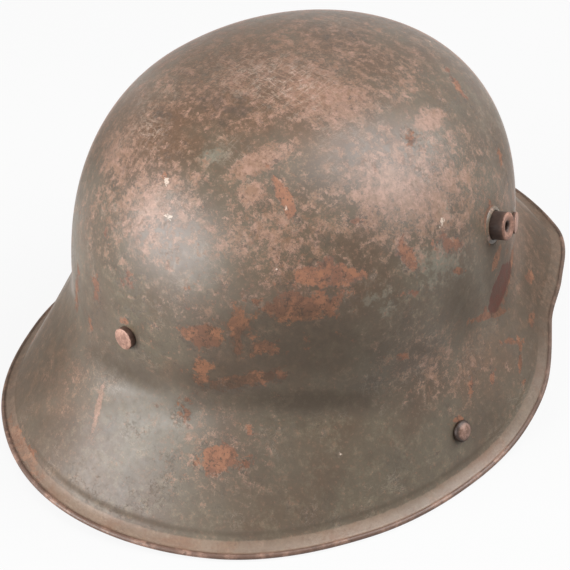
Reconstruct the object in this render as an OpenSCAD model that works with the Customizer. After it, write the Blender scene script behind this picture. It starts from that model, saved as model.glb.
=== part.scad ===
// Pressed steel helmet with a visor, a flared skirt, side vent lugs, a riveted
// three-pad liner and a chin strap. Millimetres, +Z up, the visor towards -Y, the
// wearer's left towards +X, standing on z = 0 with the dome's axis on x = y = 0.

/* [Bowl] */
// Height of the crown above the table
crown_h = 176; // [171:0.5:182]
// Half width of the dome above the brow
dome_half_w = 100; // [97:0.5:103]
// Reach of the dome from its axis to the front
dome_front = 122; // [118:0.5:127]
// Reach of the dome from its axis to the rear
dome_rear = 104; // [100:0.5:109]
// Roundness of the dome's front, where 2 is an ellipse
round_front = 2.5; // [2.3:0.05:2.7]
// Roundness of the dome's sides
round_side = 2.45; // [2.3:0.05:2.7]
// Roundness of the dome's rear
round_rear = 2.45; // [2.3:0.05:2.7]
// Height of the upright wall above the brow line
wall_h = 8; // [8:0.5:12]
// Slope of that wall, outwards per millimetre down
wall_draft = 0.05; // [0:0.01:0.12]
// Blend on each side of the brow line
brow_blend = 7; // [5:0.5:8]
// Thickness of the steel sheet
sheet_t = 1.2; // [1:0.1:1.4]

/* [Brow height] */
// Brow line over the visor
brow_front_z = 72; // [70:0.5:74]
// Brow line at the temple
brow_temple_z = 65; // [62:0.5:68]
// Brow line over the ear
brow_ear_z = 58.5; // [56:0.5:61]
// Brow line behind the ear
brow_quarter_z = 54; // [51:0.5:57]
// Brow line at the nape
brow_nape_z = 59; // [56:0.5:61]

/* [Rim reach] */
// Rim from the axis, at the front of the visor
front_reach = 150.5; // [147:0.5:156]
// Rim at the visor's round part
visor_reach = 149.5; // [145:0.5:154]
// Rim at the visor's corner
corner_reach = 137; // [134:0.5:141]
// Rim at the temple
temple_reach = 129.5; // [127:0.5:133]
// Rim at the step from the visor to the skirt
step_reach = 131.5; // [129:0.5:135]
// Rim at the front edge of the skirt
cheek_reach = 127.5; // [125:0.5:131]
// Rim over the ear
ear_reach = 124.5; // [121:0.5:128]
// Rim behind the ear
mastoid_reach = 130.5; // [127:0.5:134]
// Rim between the ear and the nape
quarter_reach = 143; // [139:0.5:146]
// Rim at the nape
nape_reach = 150.5; // [147:0.5:156]

/* [Rim height] */
// Front of the visor above the table
front_lift = 41; // [36:0.5:46]
// Visor's round part above the table
visor_lift = 40.5; // [36:0.5:44]
// Visor's corner above the table
corner_lift = 39.5; // [35:0.5:42]
// Temple above the table
temple_lift = 35; // [32:0.5:38]
// Middle of the step above the table
step_lift = 20; // [17:0.5:23]
// Front edge of the skirt above the table
cheek_lift = 5; // [2:0.5:8]
// Rim between the ear and the nape above the table
quarter_lift = 0.5; // [0:0.5:3]
// Nape above the table
nape_lift = 3; // [0:0.5:6]

/* [Rim edge] */
// Width of the turned-out lip
lip_w = 5; // [4:0.5:7]
// How far the lip turns out from the skirt, in degrees
lip_turn = 26; // [15:1:35]
// Radius of the rolled bead
bead_r = 1.4; // [1.2:0.1:1.7]

/* [Vent lugs] */
// Angle of each lug from the front, in degrees
lug_q = 64; // [60:0.5:68]
// Height of each lug above the table
lug_z = 107; // [102:1:112]
// Diameter of a lug
lug_d = 13.2; // [12:0.1:15]
// How far a lug stands out
lug_out = 7.4; // [6.4:0.2:9.4]
// Vent bore through a lug
vent_d = 4.2; // [3:0.1:5.5]
// Diameter of a lug's neck, where it goes through the sheet
lug_neck_d = 9.8; // [8:0.1:11]

/* [Liner rivets] */
// Angle of the front pair from the front, in degrees
liner_rivet_q = 49; // [46:1:52]
// Height of the front pair
liner_rivet_front_z = 90; // [88:0.5:93]
// Height of the rear rivet
liner_rivet_rear_z = 78.5; // [76:0.5:80]
// Diameter of a liner rivet's head
liner_head_d = 10.4; // [9:0.1:11]
// Height of the rear liner rivet's head
liner_head_h = 3.6; // [2.6:0.1:4]
// Height of the flatter heads of the front pair
liner_front_head_h = 2.2; // [1.8:0.1:3]
// Height of the rounded top of a liner rivet's head
liner_head_rise = 0.8; // [0.4:0.1:1.2]
// Diameter of a liner rivet's shank
liner_shank_d = 4.2; // [3.4:0.1:5]
// Length of each spread leg of a liner rivet
liner_leg_l = 10; // [8:0.5:11]
// Diameter of the washer under the legs
washer_d = 13; // [11:0.5:15]
// Thickness of the washer
washer_t = 0.8; // [0.6:0.1:1.2]

/* [Chin strap lugs] */
// Angle of each chin strap rivet from the front, in degrees
chin_q = 90.5; // [86:0.5:94]
// Height of each chin strap rivet
chin_z = 24; // [22.5:0.5:25.5]
// Diameter of the domed head
chin_head_d = 10.4; // [9:0.1:12]
// Height of the domed head
chin_head_h = 3.4; // [2.5:0.1:4]
// Diameter of the rivet's shank
chin_shank_d = 4.4; // [3.6:0.1:5]
// Width of the lug's plate
lug_plate_w = 17; // [15:0.5:19]
// Thickness of the lug's plate
lug_plate_t = 1.6; // [1.2:0.1:2]
// Distance from the rivet up to the strap's post
post_up = 11; // [10:0.5:13]
// Diameter of the post
post_d = 6; // [5:0.1:7]
// Length of the post between its boss and its head
post_l = 5.5; // [5:0.1:6.5]
// Diameter of the post's head
post_head_d = 9.4; // [8.6:0.1:10]

/* [Liner band] */
// Lower edge of the band
band_z = 70; // [69:0.5:72]
// Height of the band
band_h = 28; // [26:0.5:30]
// Thickness of the band
band_t = 0.8; // [0.6:0.1:1.2]
// Room between the sheet and the band, for the rivets' tails
band_gap = 1.4; // [1.3:0.1:2]

/* [Pads] */
// Angle between the gaps of the three pads, in degrees
pad_span = 108; // [100:1:110]
// Angle from the front pad's middle to a rear pad's middle, in degrees
pad_rear_q = 119; // [117:1:120]
// Thickness of the leather
leather_t = 2; // [1.6:0.1:2.4]
// Width of the strip that is riveted to the band
pad_strip_h = 8; // [8:0.5:9]
// How far the pads stand in from the band
pad_bulge = 15; // [13:0.5:18]
// Room between the tongues and the crown
crown_gap = 22; // [18:0.5:26]
// How far up the dome the tongues reach, in degrees
tongue_top = 64; // [58:1:68]
// Diameter of the lace hole in each tongue
lace_hole_d = 5; // [4:0.5:6]
// Diameter of a pad rivet's shank
pad_shank_d = 2.6; // [2:0.1:3]
// Diameter of a pad rivet's head
pad_head_d = 6.4; // [5:0.1:7]
// Height of the cushion
cushion_h = 36; // [30:1:40]

/* [Chin strap] */
// Width of the strap
strap_w = 15; // [12:0.5:16]
// Thickness of the strap
strap_t = 2.2; // [1.8:0.1:2.6]
// Reach of the strap from its posts
strap_reach = 106; // [98:1:108]
// Radius of the strap's corners
strap_corner_r = 52; // [45:1:58]
// Width of the sliding buckle
buckle_w = 16; // [12:0.5:20]
// Wire thickness of the buckle
buckle_wire = 2; // [1.6:0.1:2.4]
// Thickness of a clip's plate
clip_t = 1.4; // [1.2:0.1:1.6]
// Distance from the post to the wide end of the keyhole
keyhole_l = 10; // [9:0.5:11]
// Thickness of a gate
gate_t = 1; // [0.8:0.1:1.2]
// Distance from the post to the gate's pivot
gate_pivot_u = 21; // [20:0.5:23]
// Diameter of the gate's pivot
gate_pin_d = 2.4; // [2:0.1:3]

/* [Hidden] */
// Clearances, each named for what it parts
RUN_GAP = 0.07;
FIT_GAP = 0.1;
SEAT_GAP = 0.12;
SIDE_GAP = 0.3;
SOFT_GAP = 0.4;
// Room for the flats between the points of a round sheet
FLAT_GAP = 0.3;
// Room under the buckle, where the strap comes down to the table
FLOOR_GAP = 0.3;
// How far a bore is cut to each side of its seat, through one sheet or through several
PIERCE = 4;
PIERCE_ALL = 8;

// Steps round the helmet and down its sheet
AZ_STEPS = 72;
DOME_RINGS = 12;
BLEND_RINGS = 4;
SKIRT_RINGS = 4;
LIP_RINGS = 2;
BEAD_SEGS = 7;

// Angles from the front at which the sizes round the bowl are given
ROUND_AT = [0, 90, 180];
BROW_AT = [0, 52, 90, 135, 180];
RIM_AT = [0, 24, 40, 52, 64, 76, 90, 120, 150, 180];
BROW_Z = [brow_front_z, brow_temple_z, brow_ear_z, brow_quarter_z, brow_nape_z];
RIM_R = [front_reach, visor_reach, corner_reach, temple_reach, step_reach,
    cheek_reach, ear_reach, mastoid_reach, quarter_reach, nape_reach];
RIM_Z = [front_lift, visor_lift, corner_lift, temple_lift, step_lift,
    cheek_lift, 0, 0, quarter_lift, nape_lift];
ROUND_N = [round_front, round_side, round_rear];

// Plain helpers
function unit(v) = v / norm(v);
function mix(a, b, k) = a + (b - a) * k;
function turned(v, a) = [v.x * cos(a) - v.y * sin(a), v.x * sin(a) + v.y * cos(a)];
function reversed(list) = [for (i = [len(list) - 1:-1:0]) list[i]];
function smooth(k) = k * k * (3 - 2 * k);
function curve(a, b, c, k) = a * (1 - k) * (1 - k) + 2 * b * k * (1 - k) + c * k * k;
// Depth of a flat disc's edge below a round surface that it touches in the middle
function sag(width, radius) = width * width / (8 * radius);

// Slope of the smooth line through (x, y) at point i, flat at peaks and ends
function slope(x, y, i) = i == 0 || i == len(x) - 1 ? 0 :
    let (h0 = x[i] - x[i - 1], h1 = x[i + 1] - x[i],
        s0 = (y[i] - y[i - 1]) / h0, s1 = (y[i + 1] - y[i]) / h1)
    s0 * s1 <= 0 ? 0 : 3 * (h0 + h1) / ((2 * h1 + h0) / s0 + (h1 + 2 * h0) / s1);
// Height of that line at q
function along(q, x, y) =
    let (i = max([for (k = [0:len(x) - 2]) if (q >= x[k]) k]),
        h = x[i + 1] - x[i], t = (q - x[i]) / h)
    (1 + 2 * t) * (1 - t) * (1 - t) * y[i] + t * (1 - t) * (1 - t) * h * slope(x, y, i)
    + t * t * (3 - 2 * t) * y[i + 1] + t * t * (t - 1) * h * slope(x, y, i + 1);

// The bowl's sizes at the angle q from the front, alike on both sides
function folded(q) = let (a = abs(q) % 360) a > 180 ? 360 - a : a;
function brow_z(q) = along(folded(q), BROW_AT, BROW_Z);
function roundness(q) = along(folded(q), ROUND_AT, ROUND_N);
function plan_r(q) = 1 / sqrt(pow(sin(q) / dome_half_w, 2)
    + pow(cos(q) / (cos(q) > 0 ? dome_front : dome_rear), 2));
function wall_top(q) = brow_z(q) + wall_h;
function place(q, p) = [p.x * sin(q), -p.x * cos(q), p.y];

// Outside of the dome at a height, and where its upright wall is taken further down
function dome_r(q, z) = let (n = roundness(q), top = wall_top(q))
    z < top ? plan_r(q) + wall_draft * (top - z)
    : plan_r(q) * pow(1 - pow((z - top) / (crown_h - top), n), 1 / n);
function dome_at(q, z) = place(q, [dome_r(q, z), z]);
function dome_out(q, z) = unit(cross(dome_at(q + 1, z) - dome_at(q - 1, z),
    dome_at(q, z + 1) - dome_at(q, z - 1)));

// The skirt's bend at the brow, the bead's centre, and the two ends of the lip
function brow_pt(q) = [plan_r(q) + wall_draft * wall_h, brow_z(q)];
function bead_pt(q) = [along(folded(q), RIM_AT, RIM_R) - bead_r,
    along(folded(q), RIM_AT, RIM_Z) + bead_r];
function lip_dir(q) = turned(unit(bead_pt(q) - brow_pt(q)), lip_turn);
function lip_out(q) = turned(lip_dir(q), 90);
function lip_end(q) = bead_pt(q) + lip_out(q) * sheet_t / 2
    - lip_dir(q) * sqrt(bead_r * bead_r - sheet_t * sheet_t / 4);
function lip_start(q) = lip_end(q) - lip_dir(q) * lip_w;

// Outside of the straight skirt at a height
function skirt_at(q, z) = let (a = brow_pt(q), b = lip_start(q))
    place(q, mix(a, b, (a.y - z) / (a.y - b.y)));
function skirt_out(q, z) = unit(cross(skirt_at(q + 1, z) - skirt_at(q - 1, z),
    skirt_at(q, z + 1) - skirt_at(q, z - 1)));

// Outside of the sheet from under the crown down to the bead
function dome_line(q) = let (n = roundness(q), top = wall_top(q), r = plan_r(q))
    [for (i = [1:DOME_RINGS]) let (a = 90 * (1 - i / DOME_RINGS))
        [r * pow(cos(a), 2 / n), top + (crown_h - top) * pow(sin(a), 2 / n)]];
function skirt_line(q) =
    let (bend = brow_pt(q), lip = lip_start(q), end = lip_end(q),
        down = unit(lip - bend), lip_blend = lip_w * 0.6,
        a = bend + unit([plan_r(q), wall_top(q)] - bend) * brow_blend,
        b = bend + down * brow_blend,
        c = lip - down * lip_blend, d = lip + lip_dir(q) * lip_blend)
    concat([for (i = [0:BLEND_RINGS]) curve(a, bend, b, i / BLEND_RINGS)],
        [for (i = [1:SKIRT_RINGS]) mix(b, c, i / SKIRT_RINGS)],
        [for (i = [1:LIP_RINGS]) curve(c, lip, d, i / LIP_RINGS)], [end]);
function bead_line(q) =
    let (neck = asin(sheet_t / 2 / bead_r), sweep = 360 - 2 * neck)
    [for (i = [1:BEAD_SEGS - 1]) let (a = 180 - neck - sweep * i / BEAD_SEGS)
        bead_pt(q) + bead_r * (cos(a) * lip_dir(q) + sin(a) * lip_out(q))];

// Outward direction of a line of points that starts from the crown
function line_out(line, i) =
    let (a = i == 0 ? [0, crown_h] : line[i - 1],
        b = i == len(line) - 1 ? line[i] : line[i + 1])
    turned(unit(b - a), 90);
function sheet_section(q) =
    let (out = concat(dome_line(q), skirt_line(q)),
        in = [for (i = [0:len(out) - 1]) out[i] - sheet_t * line_out(out, i)])
    concat(out, bead_line(q), reversed(in));

// Skin over rows of points, each row a loop that runs clockwise seen along +q
function quad_faces(rows, cols, wrap) =
    [for (i = [0:rows - (wrap ? 1 : 2)]) for (j = [0:cols - 1])
        let (i2 = (i + 1) % rows, j2 = (j + 1) % cols, a = i * cols + j,
            b = i2 * cols + j, c = i2 * cols + j2, d = i * cols + j2)
        each [[a, b, c], [a, c, d]]];
module loft(rows, wrap = false) {
    n = len(rows);
    m = len(rows[0]);
    caps = wrap ? [] : [[for (j = [0:m - 1]) j],
        [for (j = [m - 1:-1:0]) (n - 1) * m + j]];
    polyhedron([for (row = rows) each row], concat(quad_faces(n, m, wrap), caps));
}

// Set children on a point, their z axis along a direction
module seat(at, dir)
    translate(at) rotate([0, acos(dir.z), atan2(dir.y, dir.x)]) children();
module on_dome(q, z) seat(dome_at(q, z), dome_out(q, z)) children();
module on_skirt(q, z) seat(skirt_at(q, z), skirt_out(q, z)) children();
module right_side() mirror([1, 0, 0]) children();
module both_sides() {
    children();
    right_side() children();
}
module bored(d, depth) translate([0, 0, -depth]) cylinder(d = d, h = 2 * depth, $fn = 48);

// Bowl
shell_section = sheet_section(0);
SECTION_N = len(shell_section);
OUT_TOP = AZ_STEPS * SECTION_N;
module bowl() {
    rows = [for (i = [0:AZ_STEPS - 1]) let (q = 360 * i / AZ_STEPS)
        [for (p = sheet_section(q)) place(q, p)]];
    wall = [for (i = [0:AZ_STEPS - 1]) for (j = [0:SECTION_N - 2])
        let (a = i * SECTION_N + j, b = ((i + 1) % AZ_STEPS) * SECTION_N + j)
        each i < AZ_STEPS / 2 ? [[a, b, b + 1], [a, b + 1, a + 1]]
            : [[a, b, a + 1], [b, b + 1, a + 1]]];
    cap = [for (i = [0:AZ_STEPS - 1])
        let (a = i * SECTION_N, b = ((i + 1) % AZ_STEPS) * SECTION_N, last = SECTION_N - 1)
        each [[OUT_TOP, b, a], [OUT_TOP + 1, a + last, b + last]]];
    polyhedron([for (row = rows) each row, [0, 0, crown_h], [0, 0, crown_h - sheet_t]],
        concat(wall, cap));
}
module shell() color("dimgray") difference() {
    bowl();
    both_sides() {
        on_dome(lug_q, lug_z) bored(lug_neck_d + 2 * FIT_GAP, PIERCE);
        on_dome(liner_rivet_q, liner_rivet_front_z) bored(liner_shank_d + 2 * FIT_GAP, PIERCE);
        on_skirt(chin_q, chin_z) bored(chin_shank_d + 2 * FIT_GAP, PIERCE);
    }
    on_dome(180, liner_rivet_rear_z) bored(liner_shank_d + 2 * FIT_GAP, PIERCE);
}

// Vent lugs
LUG_FLANGE_D = lug_d;
LUG_FLANGE_T = 1.4;
LUG_IN = sheet_t + FLAT_GAP + SEAT_GAP + sag(LUG_FLANGE_D, dome_half_w * 0.7);
DISH_D = lug_d - 3.6;
DISH_DEEP = 1;
LUG_EDGE = 0.6;
module vent_lug() on_dome(lug_q, lug_z) translate([0, 0, SEAT_GAP]) rotate_extrude($fn = 48) polygon([
    [vent_d / 2, -LUG_IN - LUG_FLANGE_T], [LUG_FLANGE_D / 2, -LUG_IN - LUG_FLANGE_T],
    [LUG_FLANGE_D / 2, -LUG_IN], [lug_neck_d / 2, -LUG_IN], [lug_neck_d / 2, 0],
    [lug_d / 2, 0], [lug_d / 2, lug_out - LUG_EDGE], [lug_d / 2 - LUG_EDGE, lug_out],
    [DISH_D / 2, lug_out], [vent_d / 2, lug_out - DISH_DEEP]]);
module left_vent_lug() color("saddlebrown") vent_lug();
module right_vent_lug() color("saddlebrown") right_side() vent_lug();

// Liner rivets with two spread legs over a washer
function band_in(q, z) = dome_r(q, z) - sheet_t - band_gap - band_t;
WASHER_IN = sheet_t + band_gap + band_t + FLAT_GAP + sag(washer_d, dome_rear);
LEG_IN = WASHER_IN + washer_t + 2 * SEAT_GAP;
LEG_T = 0.9;
LEG_W = liner_shank_d * 0.8;
module domed_head(d, h, shank_d, shank_l, rim = 0.6) rotate_extrude($fn = 48) polygon(
    concat([[0, -shank_l], [shank_d / 2, -shank_l], [shank_d / 2, 0], [d / 2, 0]],
        [for (i = [0:6]) let (a = 15 * i)
            [d / 2 * cos(a), rim + (h - rim) * sin(a)]]));
module liner_rivet(head_h = liner_head_h) translate([0, 0, SEAT_GAP]) {
    domed_head(liner_head_d, head_h, liner_shank_d, LEG_IN + LEG_T, head_h - liner_head_rise);
    translate([-LEG_W / 2, -liner_leg_l, -LEG_IN - LEG_T])
        cube([LEG_W, 2 * liner_leg_l, LEG_T]);
}
module washer() translate([0, 0, -WASHER_IN - washer_t]) difference() {
    cylinder(d = washer_d, h = washer_t, $fn = 48);
    bored(liner_shank_d + 2 * FIT_GAP, PIERCE);
}
module rear_liner_rivet() color("saddlebrown") on_dome(180, liner_rivet_rear_z) liner_rivet();
module left_liner_rivet() color("saddlebrown")
    on_dome(liner_rivet_q, liner_rivet_front_z) liner_rivet(liner_front_head_h);
module right_liner_rivet() color("saddlebrown") right_side()
    on_dome(liner_rivet_q, liner_rivet_front_z) liner_rivet(liner_front_head_h);
module rear_washer() color("gray") on_dome(180, liner_rivet_rear_z) washer();
module left_washer() color("gray") on_dome(liner_rivet_q, liner_rivet_front_z) washer();
module right_washer() color("gray") right_side()
    on_dome(liner_rivet_q, liner_rivet_front_z) washer();

// Chin strap rivets and the lugs that they hold inside the skirt
CHIN_AT = skirt_at(chin_q, chin_z);
CHIN_OUT = skirt_out(chin_q, chin_z);
CHIN_UP = unit(skirt_at(chin_q, chin_z + 1) - CHIN_AT);
// Heights of the skirt over its tangent plane, round the edge of a disc of diameter d
function skirt_heights(d) = [for (a = [0:30:330])
    let (dq = d / 2 * cos(a) / norm([CHIN_AT.x, CHIN_AT.y]) * 180 / PI)
    (skirt_at(chin_q + dq, chin_z + d / 2 * sin(a) * CHIN_UP.z) - CHIN_AT) * CHIN_OUT];
HEAD_SEAT = max(0, max(skirt_heights(chin_head_d))) + FLAT_GAP;
PLATE_IN = sheet_t + FLAT_GAP - min(0, min(skirt_heights(lug_plate_w)));
CHIN_TAIL_D = chin_shank_d + 3;
CHIN_TAIL_T = 1;
BOSS_D = post_d + 5;
BOSS_T = 2.6;
module chin_rivet() on_skirt(chin_q, chin_z) {
    translate([0, 0, HEAD_SEAT]) domed_head(chin_head_d, chin_head_h, chin_shank_d,
        HEAD_SEAT + PLATE_IN + lug_plate_t + CHIN_TAIL_T / 2);
    translate([0, 0, -PLATE_IN - lug_plate_t - SEAT_GAP - CHIN_TAIL_T])
        cylinder(d = CHIN_TAIL_D, h = CHIN_TAIL_T, $fn = 48);
}
module left_chin_rivet() color("saddlebrown") chin_rivet();
module right_chin_rivet() color("saddlebrown") right_side() chin_rivet();

// The post points straight across the helmet, from a boss on the slanted plate
BOSS_AT = CHIN_AT + CHIN_UP * post_up - CHIN_OUT * (PLATE_IN + lug_plate_t);
POST_BASE_X = BOSS_AT.x - BOSS_T / 2;
POST_Y = BOSS_AT.y;
POST_Z = BOSS_AT.z;
// Rivets of the strap's ends, measured along the strap from the post
STRAP_RIVET_U = [29, 37];
// The strap's outer side clears the boss and the skirt beside the strap's last rivet
SKIRT_BY_RIVET = skirt_at(chin_q - asin(max(STRAP_RIVET_U) / ear_reach), POST_Z);
SKIRT_ROOM = 6.9;
BOSS_FACE_X = min(BOSS_AT.x - BOSS_T * CHIN_OUT.x - BOSS_D / 2 * abs(CHIN_OUT.z),
    SKIRT_BY_RIVET.x - sheet_t - SKIRT_ROOM);
POST_HEAD_X = BOSS_FACE_X - post_l;
POST_HEAD_T = 1.8;
module across(x, y, z) translate([x, y, z]) rotate([0, -90, 0]) children();
module strap_lug() {
    on_skirt(chin_q, chin_z) translate([0, 0, -PLATE_IN - lug_plate_t]) difference() {
        cylinder(d = lug_plate_w, h = lug_plate_t, $fn = 48);
        bored(chin_shank_d + 2 * FIT_GAP, PIERCE);
    }
    seat(BOSS_AT, CHIN_OUT) {
        cylinder(d = lug_plate_w, h = lug_plate_t, $fn = 48);
        translate([0, 0, -BOSS_T]) cylinder(d = BOSS_D, h = BOSS_T + lug_plate_t / 2, $fn = 48);
    }
    across(POST_BASE_X, POST_Y, POST_Z)
        cylinder(d = post_d, h = POST_BASE_X - POST_HEAD_X + POST_HEAD_T / 2, $fn = 48);
    across(POST_HEAD_X, POST_Y, POST_Z) cylinder(d = post_head_d, h = POST_HEAD_T, $fn = 48);
}
module left_strap_lug() color("gray") strap_lug();
module right_strap_lug() color("gray") right_side() strap_lug();

// Liner band: a strip bent to the wall, its ends lapped at the left and riveted
BAND_LAP_Q = 60;
BAND_LAP_HALF = 4;
BAND_LAP_STEP = 0.2;
BAND_STEP = 5;
BAND_EDGE_Z = [band_z + band_h, band_z + band_h / 2, band_z];
function band_row(q, thick) = [for (p = concat(
        [for (z = BAND_EDGE_Z) [band_in(q, z) + band_t, z]],
        [for (z = reversed(BAND_EDGE_Z)) [band_in(q, z) + band_t - thick, z]])) place(q, p)];
module band_ring() {
    lap = [for (k = [-1:1]) BAND_LAP_Q + BAND_LAP_HALF * k];
    thin = [for (q = [lap[2] + BAND_STEP:BAND_STEP:lap[0] + 360 - BAND_STEP]) q];
    loft(concat([for (q = lap) band_row(q, 2 * band_t)],
        [band_row(lap[2] + BAND_LAP_STEP, band_t)], [for (q = thin) band_row(q, band_t)],
        [band_row(lap[0] + 360 - BAND_LAP_STEP, band_t)]), true);
}
module band_rivet_seat(dz) let (z = band_z + band_h / 2 + dz, q = BAND_LAP_Q)
    seat(place(q, [band_in(q, z) + band_t, z]), dome_out(q, z)) children();
module liner_band() color("darkgray") difference() {
    band_ring();
    both_sides() on_dome(liner_rivet_q, liner_rivet_front_z)
        bored(liner_shank_d + 2 * FIT_GAP, PIERCE_ALL);
    on_dome(180, liner_rivet_rear_z) bored(liner_shank_d + 2 * FIT_GAP, PIERCE_ALL);
    for (pad = [0:2]) for (q = PAD_RIVET_Q) on_band(PAD_Q[pad] + q)
        bored(pad_shank_d + 2 * FIT_GAP, PIERCE);
    for (dz = BAND_RIVET_DZ) band_rivet_seat(dz) bored(pad_shank_d + 2 * FIT_GAP, PIERCE);
}
BAND_RIVET_DZ = [0, 9];
TAIL_T = 0.7;
TAIL_GAP = 0.22;
HEAD_T = 1;
module flat_rivet(grip) {
    translate([0, 0, TAIL_GAP]) cylinder(d = pad_head_d - 1, h = TAIL_T, $fn = 32);
    translate([0, 0, -grip - HEAD_T])
        cylinder(d = pad_shank_d, h = grip + HEAD_T + TAIL_GAP + TAIL_T / 2, $fn = 32);
    translate([0, 0, -grip - HEAD_T]) cylinder(d = pad_head_d, h = HEAD_T, $fn = 32);
}
module band_rivets() color("gray") for (dz = BAND_RIVET_DZ)
    band_rivet_seat(dz) flat_rivet(2 * band_t + FLAT_GAP);

// Pads: a strip on the band, a part that stands in over the cushion, two tongues
PAD_Q = [0, pad_rear_q, -pad_rear_q];
PAD_RIVET_Q = [-0.42, -0.16, 0.16, 0.42] * pad_span;
PAD_GAP = FLAT_GAP;
PAD_EDGE = 0.5;
PAD_Z0 = band_z + PAD_EDGE;
STRIP_TOP = band_z + pad_strip_h;
BULGE_H = 14;
BULGE_TOP = STRIP_TOP + BULGE_H;
function on_band_z() = band_z + pad_strip_h / 2;
module on_band(q) let (z = on_band_z())
    seat(place(q, [band_in(q, z) + band_t, z]), dome_out(q, z)) children();
// Room between the band and a pad at a height, and the pad's own dome above that
BASE_UP = 2;
PAD_BASE = BULGE_TOP + BASE_UP;
function pad_in(z) = PAD_GAP + (pad_bulge - PAD_GAP)
    * smooth(max(0, min(1, (z - STRIP_TOP) / (BULGE_TOP - STRIP_TOP))));
function pad_low(q, z) = [band_in(q, z) - pad_in(z), z];
function pad_high(q, a) =
    let (n = roundness(q), r = band_in(q, PAD_BASE) - pad_bulge, top = crown_h - crown_gap)
    [r * pow(cos(a), 2 / n), PAD_BASE + (top - PAD_BASE) * pow(sin(a), 2 / n)];

// Rows of a pad from its lower edge to the tongues' round tips
BULGE_ROWS = 4;
HIGH_ROWS = 5;
STRAIGHT_ROWS = 3;
HALF_COLS = 9;
TONGUE_ROOT = 36;
TONGUE_HALF = 22;
TIP_R = 8.5;
TIP_TURNS = [25, 50, 75];
TIP_SHARE = TIP_R / norm(pad_high(90, tongue_top) - pad_high(90, TONGUE_ROOT));
LOW_Z = concat([PAD_Z0], [for (i = [0:BULGE_ROWS]) mix(STRIP_TOP, BULGE_TOP, i / BULGE_ROWS)]);
HIGH_A = concat([for (i = [0:HIGH_ROWS]) TONGUE_ROOT * i / HIGH_ROWS],
    [for (i = [1:STRAIGHT_ROWS]) mix(TONGUE_ROOT, tongue_top, (1 - TIP_SHARE) * i / STRAIGHT_ROWS)],
    [for (a = TIP_TURNS) mix(TONGUE_ROOT, tongue_top, 1 - TIP_SHARE * (1 - sin(a)))]);
TONGUE_W = concat([for (i = [1:STRAIGHT_ROWS]) mix(TONGUE_HALF, TIP_R, i / STRAIGHT_ROWS)],
    [for (a = TIP_TURNS) TIP_R * cos(a)]);
ROOT_ROW = len(LOW_Z) + HIGH_ROWS;
LAST_ROW = len(LOW_Z) + len(HIGH_A) - 1;
function pad_pt(q, i) = i < len(LOW_Z) ? pad_low(q, LOW_Z[i]) : pad_high(q, HIGH_A[i - len(LOW_Z)]);
function pad_half(q, i) = i <= ROOT_ROW ? pad_span / 4 : asin(TONGUE_W[i - ROOT_ROW - 1] / pad_pt(q, i).x);
function pad_face(q, i, thick) = place(q, pad_pt(q, i)
    + thick * turned(unit(pad_pt(q, min(i + 1, LAST_ROW)) - pad_pt(q, max(i - 1, 0))), 90));
function side_q(q, side) = q + pad_span * (side / 2 - 1 / 4);
function pad_points(q0, thick) = [for (i = [0:LAST_ROW]) for (side = [0, 1])
    for (c = [i <= ROOT_ROW ? side : 0:HALF_COLS]) let (q = side_q(q0, side))
        pad_face(q + pad_half(q, i) * (2 * c / HALF_COLS - 1), i, thick)];

// Number of a point in that list, where both halves share the middle up to the root
FULL_N = 2 * HALF_COLS + 1;
function pad_id(i, side, c) = i <= ROOT_ROW ? i * FULL_N + side * HALF_COLS + c
    : (ROOT_ROW + 1) * FULL_N + (i - ROOT_ROW - 1) * (FULL_N + 1) + side * (HALF_COLS + 1) + c;
PAD_N = pad_id(LAST_ROW, 1, HALF_COLS) + 1;
PAD_FACES = [for (i = [0:LAST_ROW - 1]) for (side = [0, 1]) for (c = [0:HALF_COLS - 1])
    let (a = pad_id(i, side, c), b = pad_id(i + 1, side, c), d = pad_id(i, side, c + 1), e = b + 1)
    each [[a, b, e], [a, e, d], [a + PAD_N, e + PAD_N, b + PAD_N], [a + PAD_N, d + PAD_N, e + PAD_N]]];
PAD_EDGES = concat(
    [for (i = [0:LAST_ROW - 1]) each [[pad_id(i, 0, 0), pad_id(i + 1, 0, 0)],
        [pad_id(i + 1, 1, HALF_COLS), pad_id(i, 1, HALF_COLS)]]],
    [for (i = [ROOT_ROW:LAST_ROW - 1]) each [[pad_id(i + 1, 0, HALF_COLS), pad_id(i, 0, HALF_COLS)],
        [pad_id(i, 1, 0), pad_id(i + 1, 1, 0)]]],
    [for (side = [0, 1]) for (c = [0:HALF_COLS - 1]) each [
        [pad_id(LAST_ROW, side, c), pad_id(LAST_ROW, side, c + 1)],
        [pad_id(0, side, c + 1), pad_id(0, side, c)]]]);
module pad_sheet(q) polyhedron(concat(pad_points(q, 0), pad_points(q, leather_t)),
    concat(PAD_FACES, [for (e = PAD_EDGES)
        each [[e[1], e[0], e[0] + PAD_N], [e[1], e[0] + PAD_N, e[1] + PAD_N]]]));
module lace_hole(q, side) let (a = side_q(q, side),
        at = pad_high(a, mix(TONGUE_ROOT, tongue_top, 1 - TIP_SHARE)))
    translate(place(a, at)) cylinder(d = lace_hole_d, h = pad_bulge, center = true, $fn = 32);
module pad(q) difference() {
    pad_sheet(q);
    for (side = [0, 1]) lace_hole(q, side);
    for (a = PAD_RIVET_Q) on_band(q + a) bored(pad_shank_d + 2 * FIT_GAP, PIERCE);
}
module front_pad() color("sienna") pad(PAD_Q[0]);
module left_pad() color("sienna") pad(PAD_Q[1]);
module right_pad() color("sienna") pad(PAD_Q[2]);
module pad_rivets(q) for (a = PAD_RIVET_Q) on_band(q + a)
    flat_rivet(band_t + PAD_GAP + leather_t + FLAT_GAP);
module front_pad_rivets() color("gray") pad_rivets(PAD_Q[0]);
module left_pad_rivets() color("gray") pad_rivets(PAD_Q[1]);
module right_pad_rivets() color("gray") pad_rivets(PAD_Q[2]);

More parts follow.
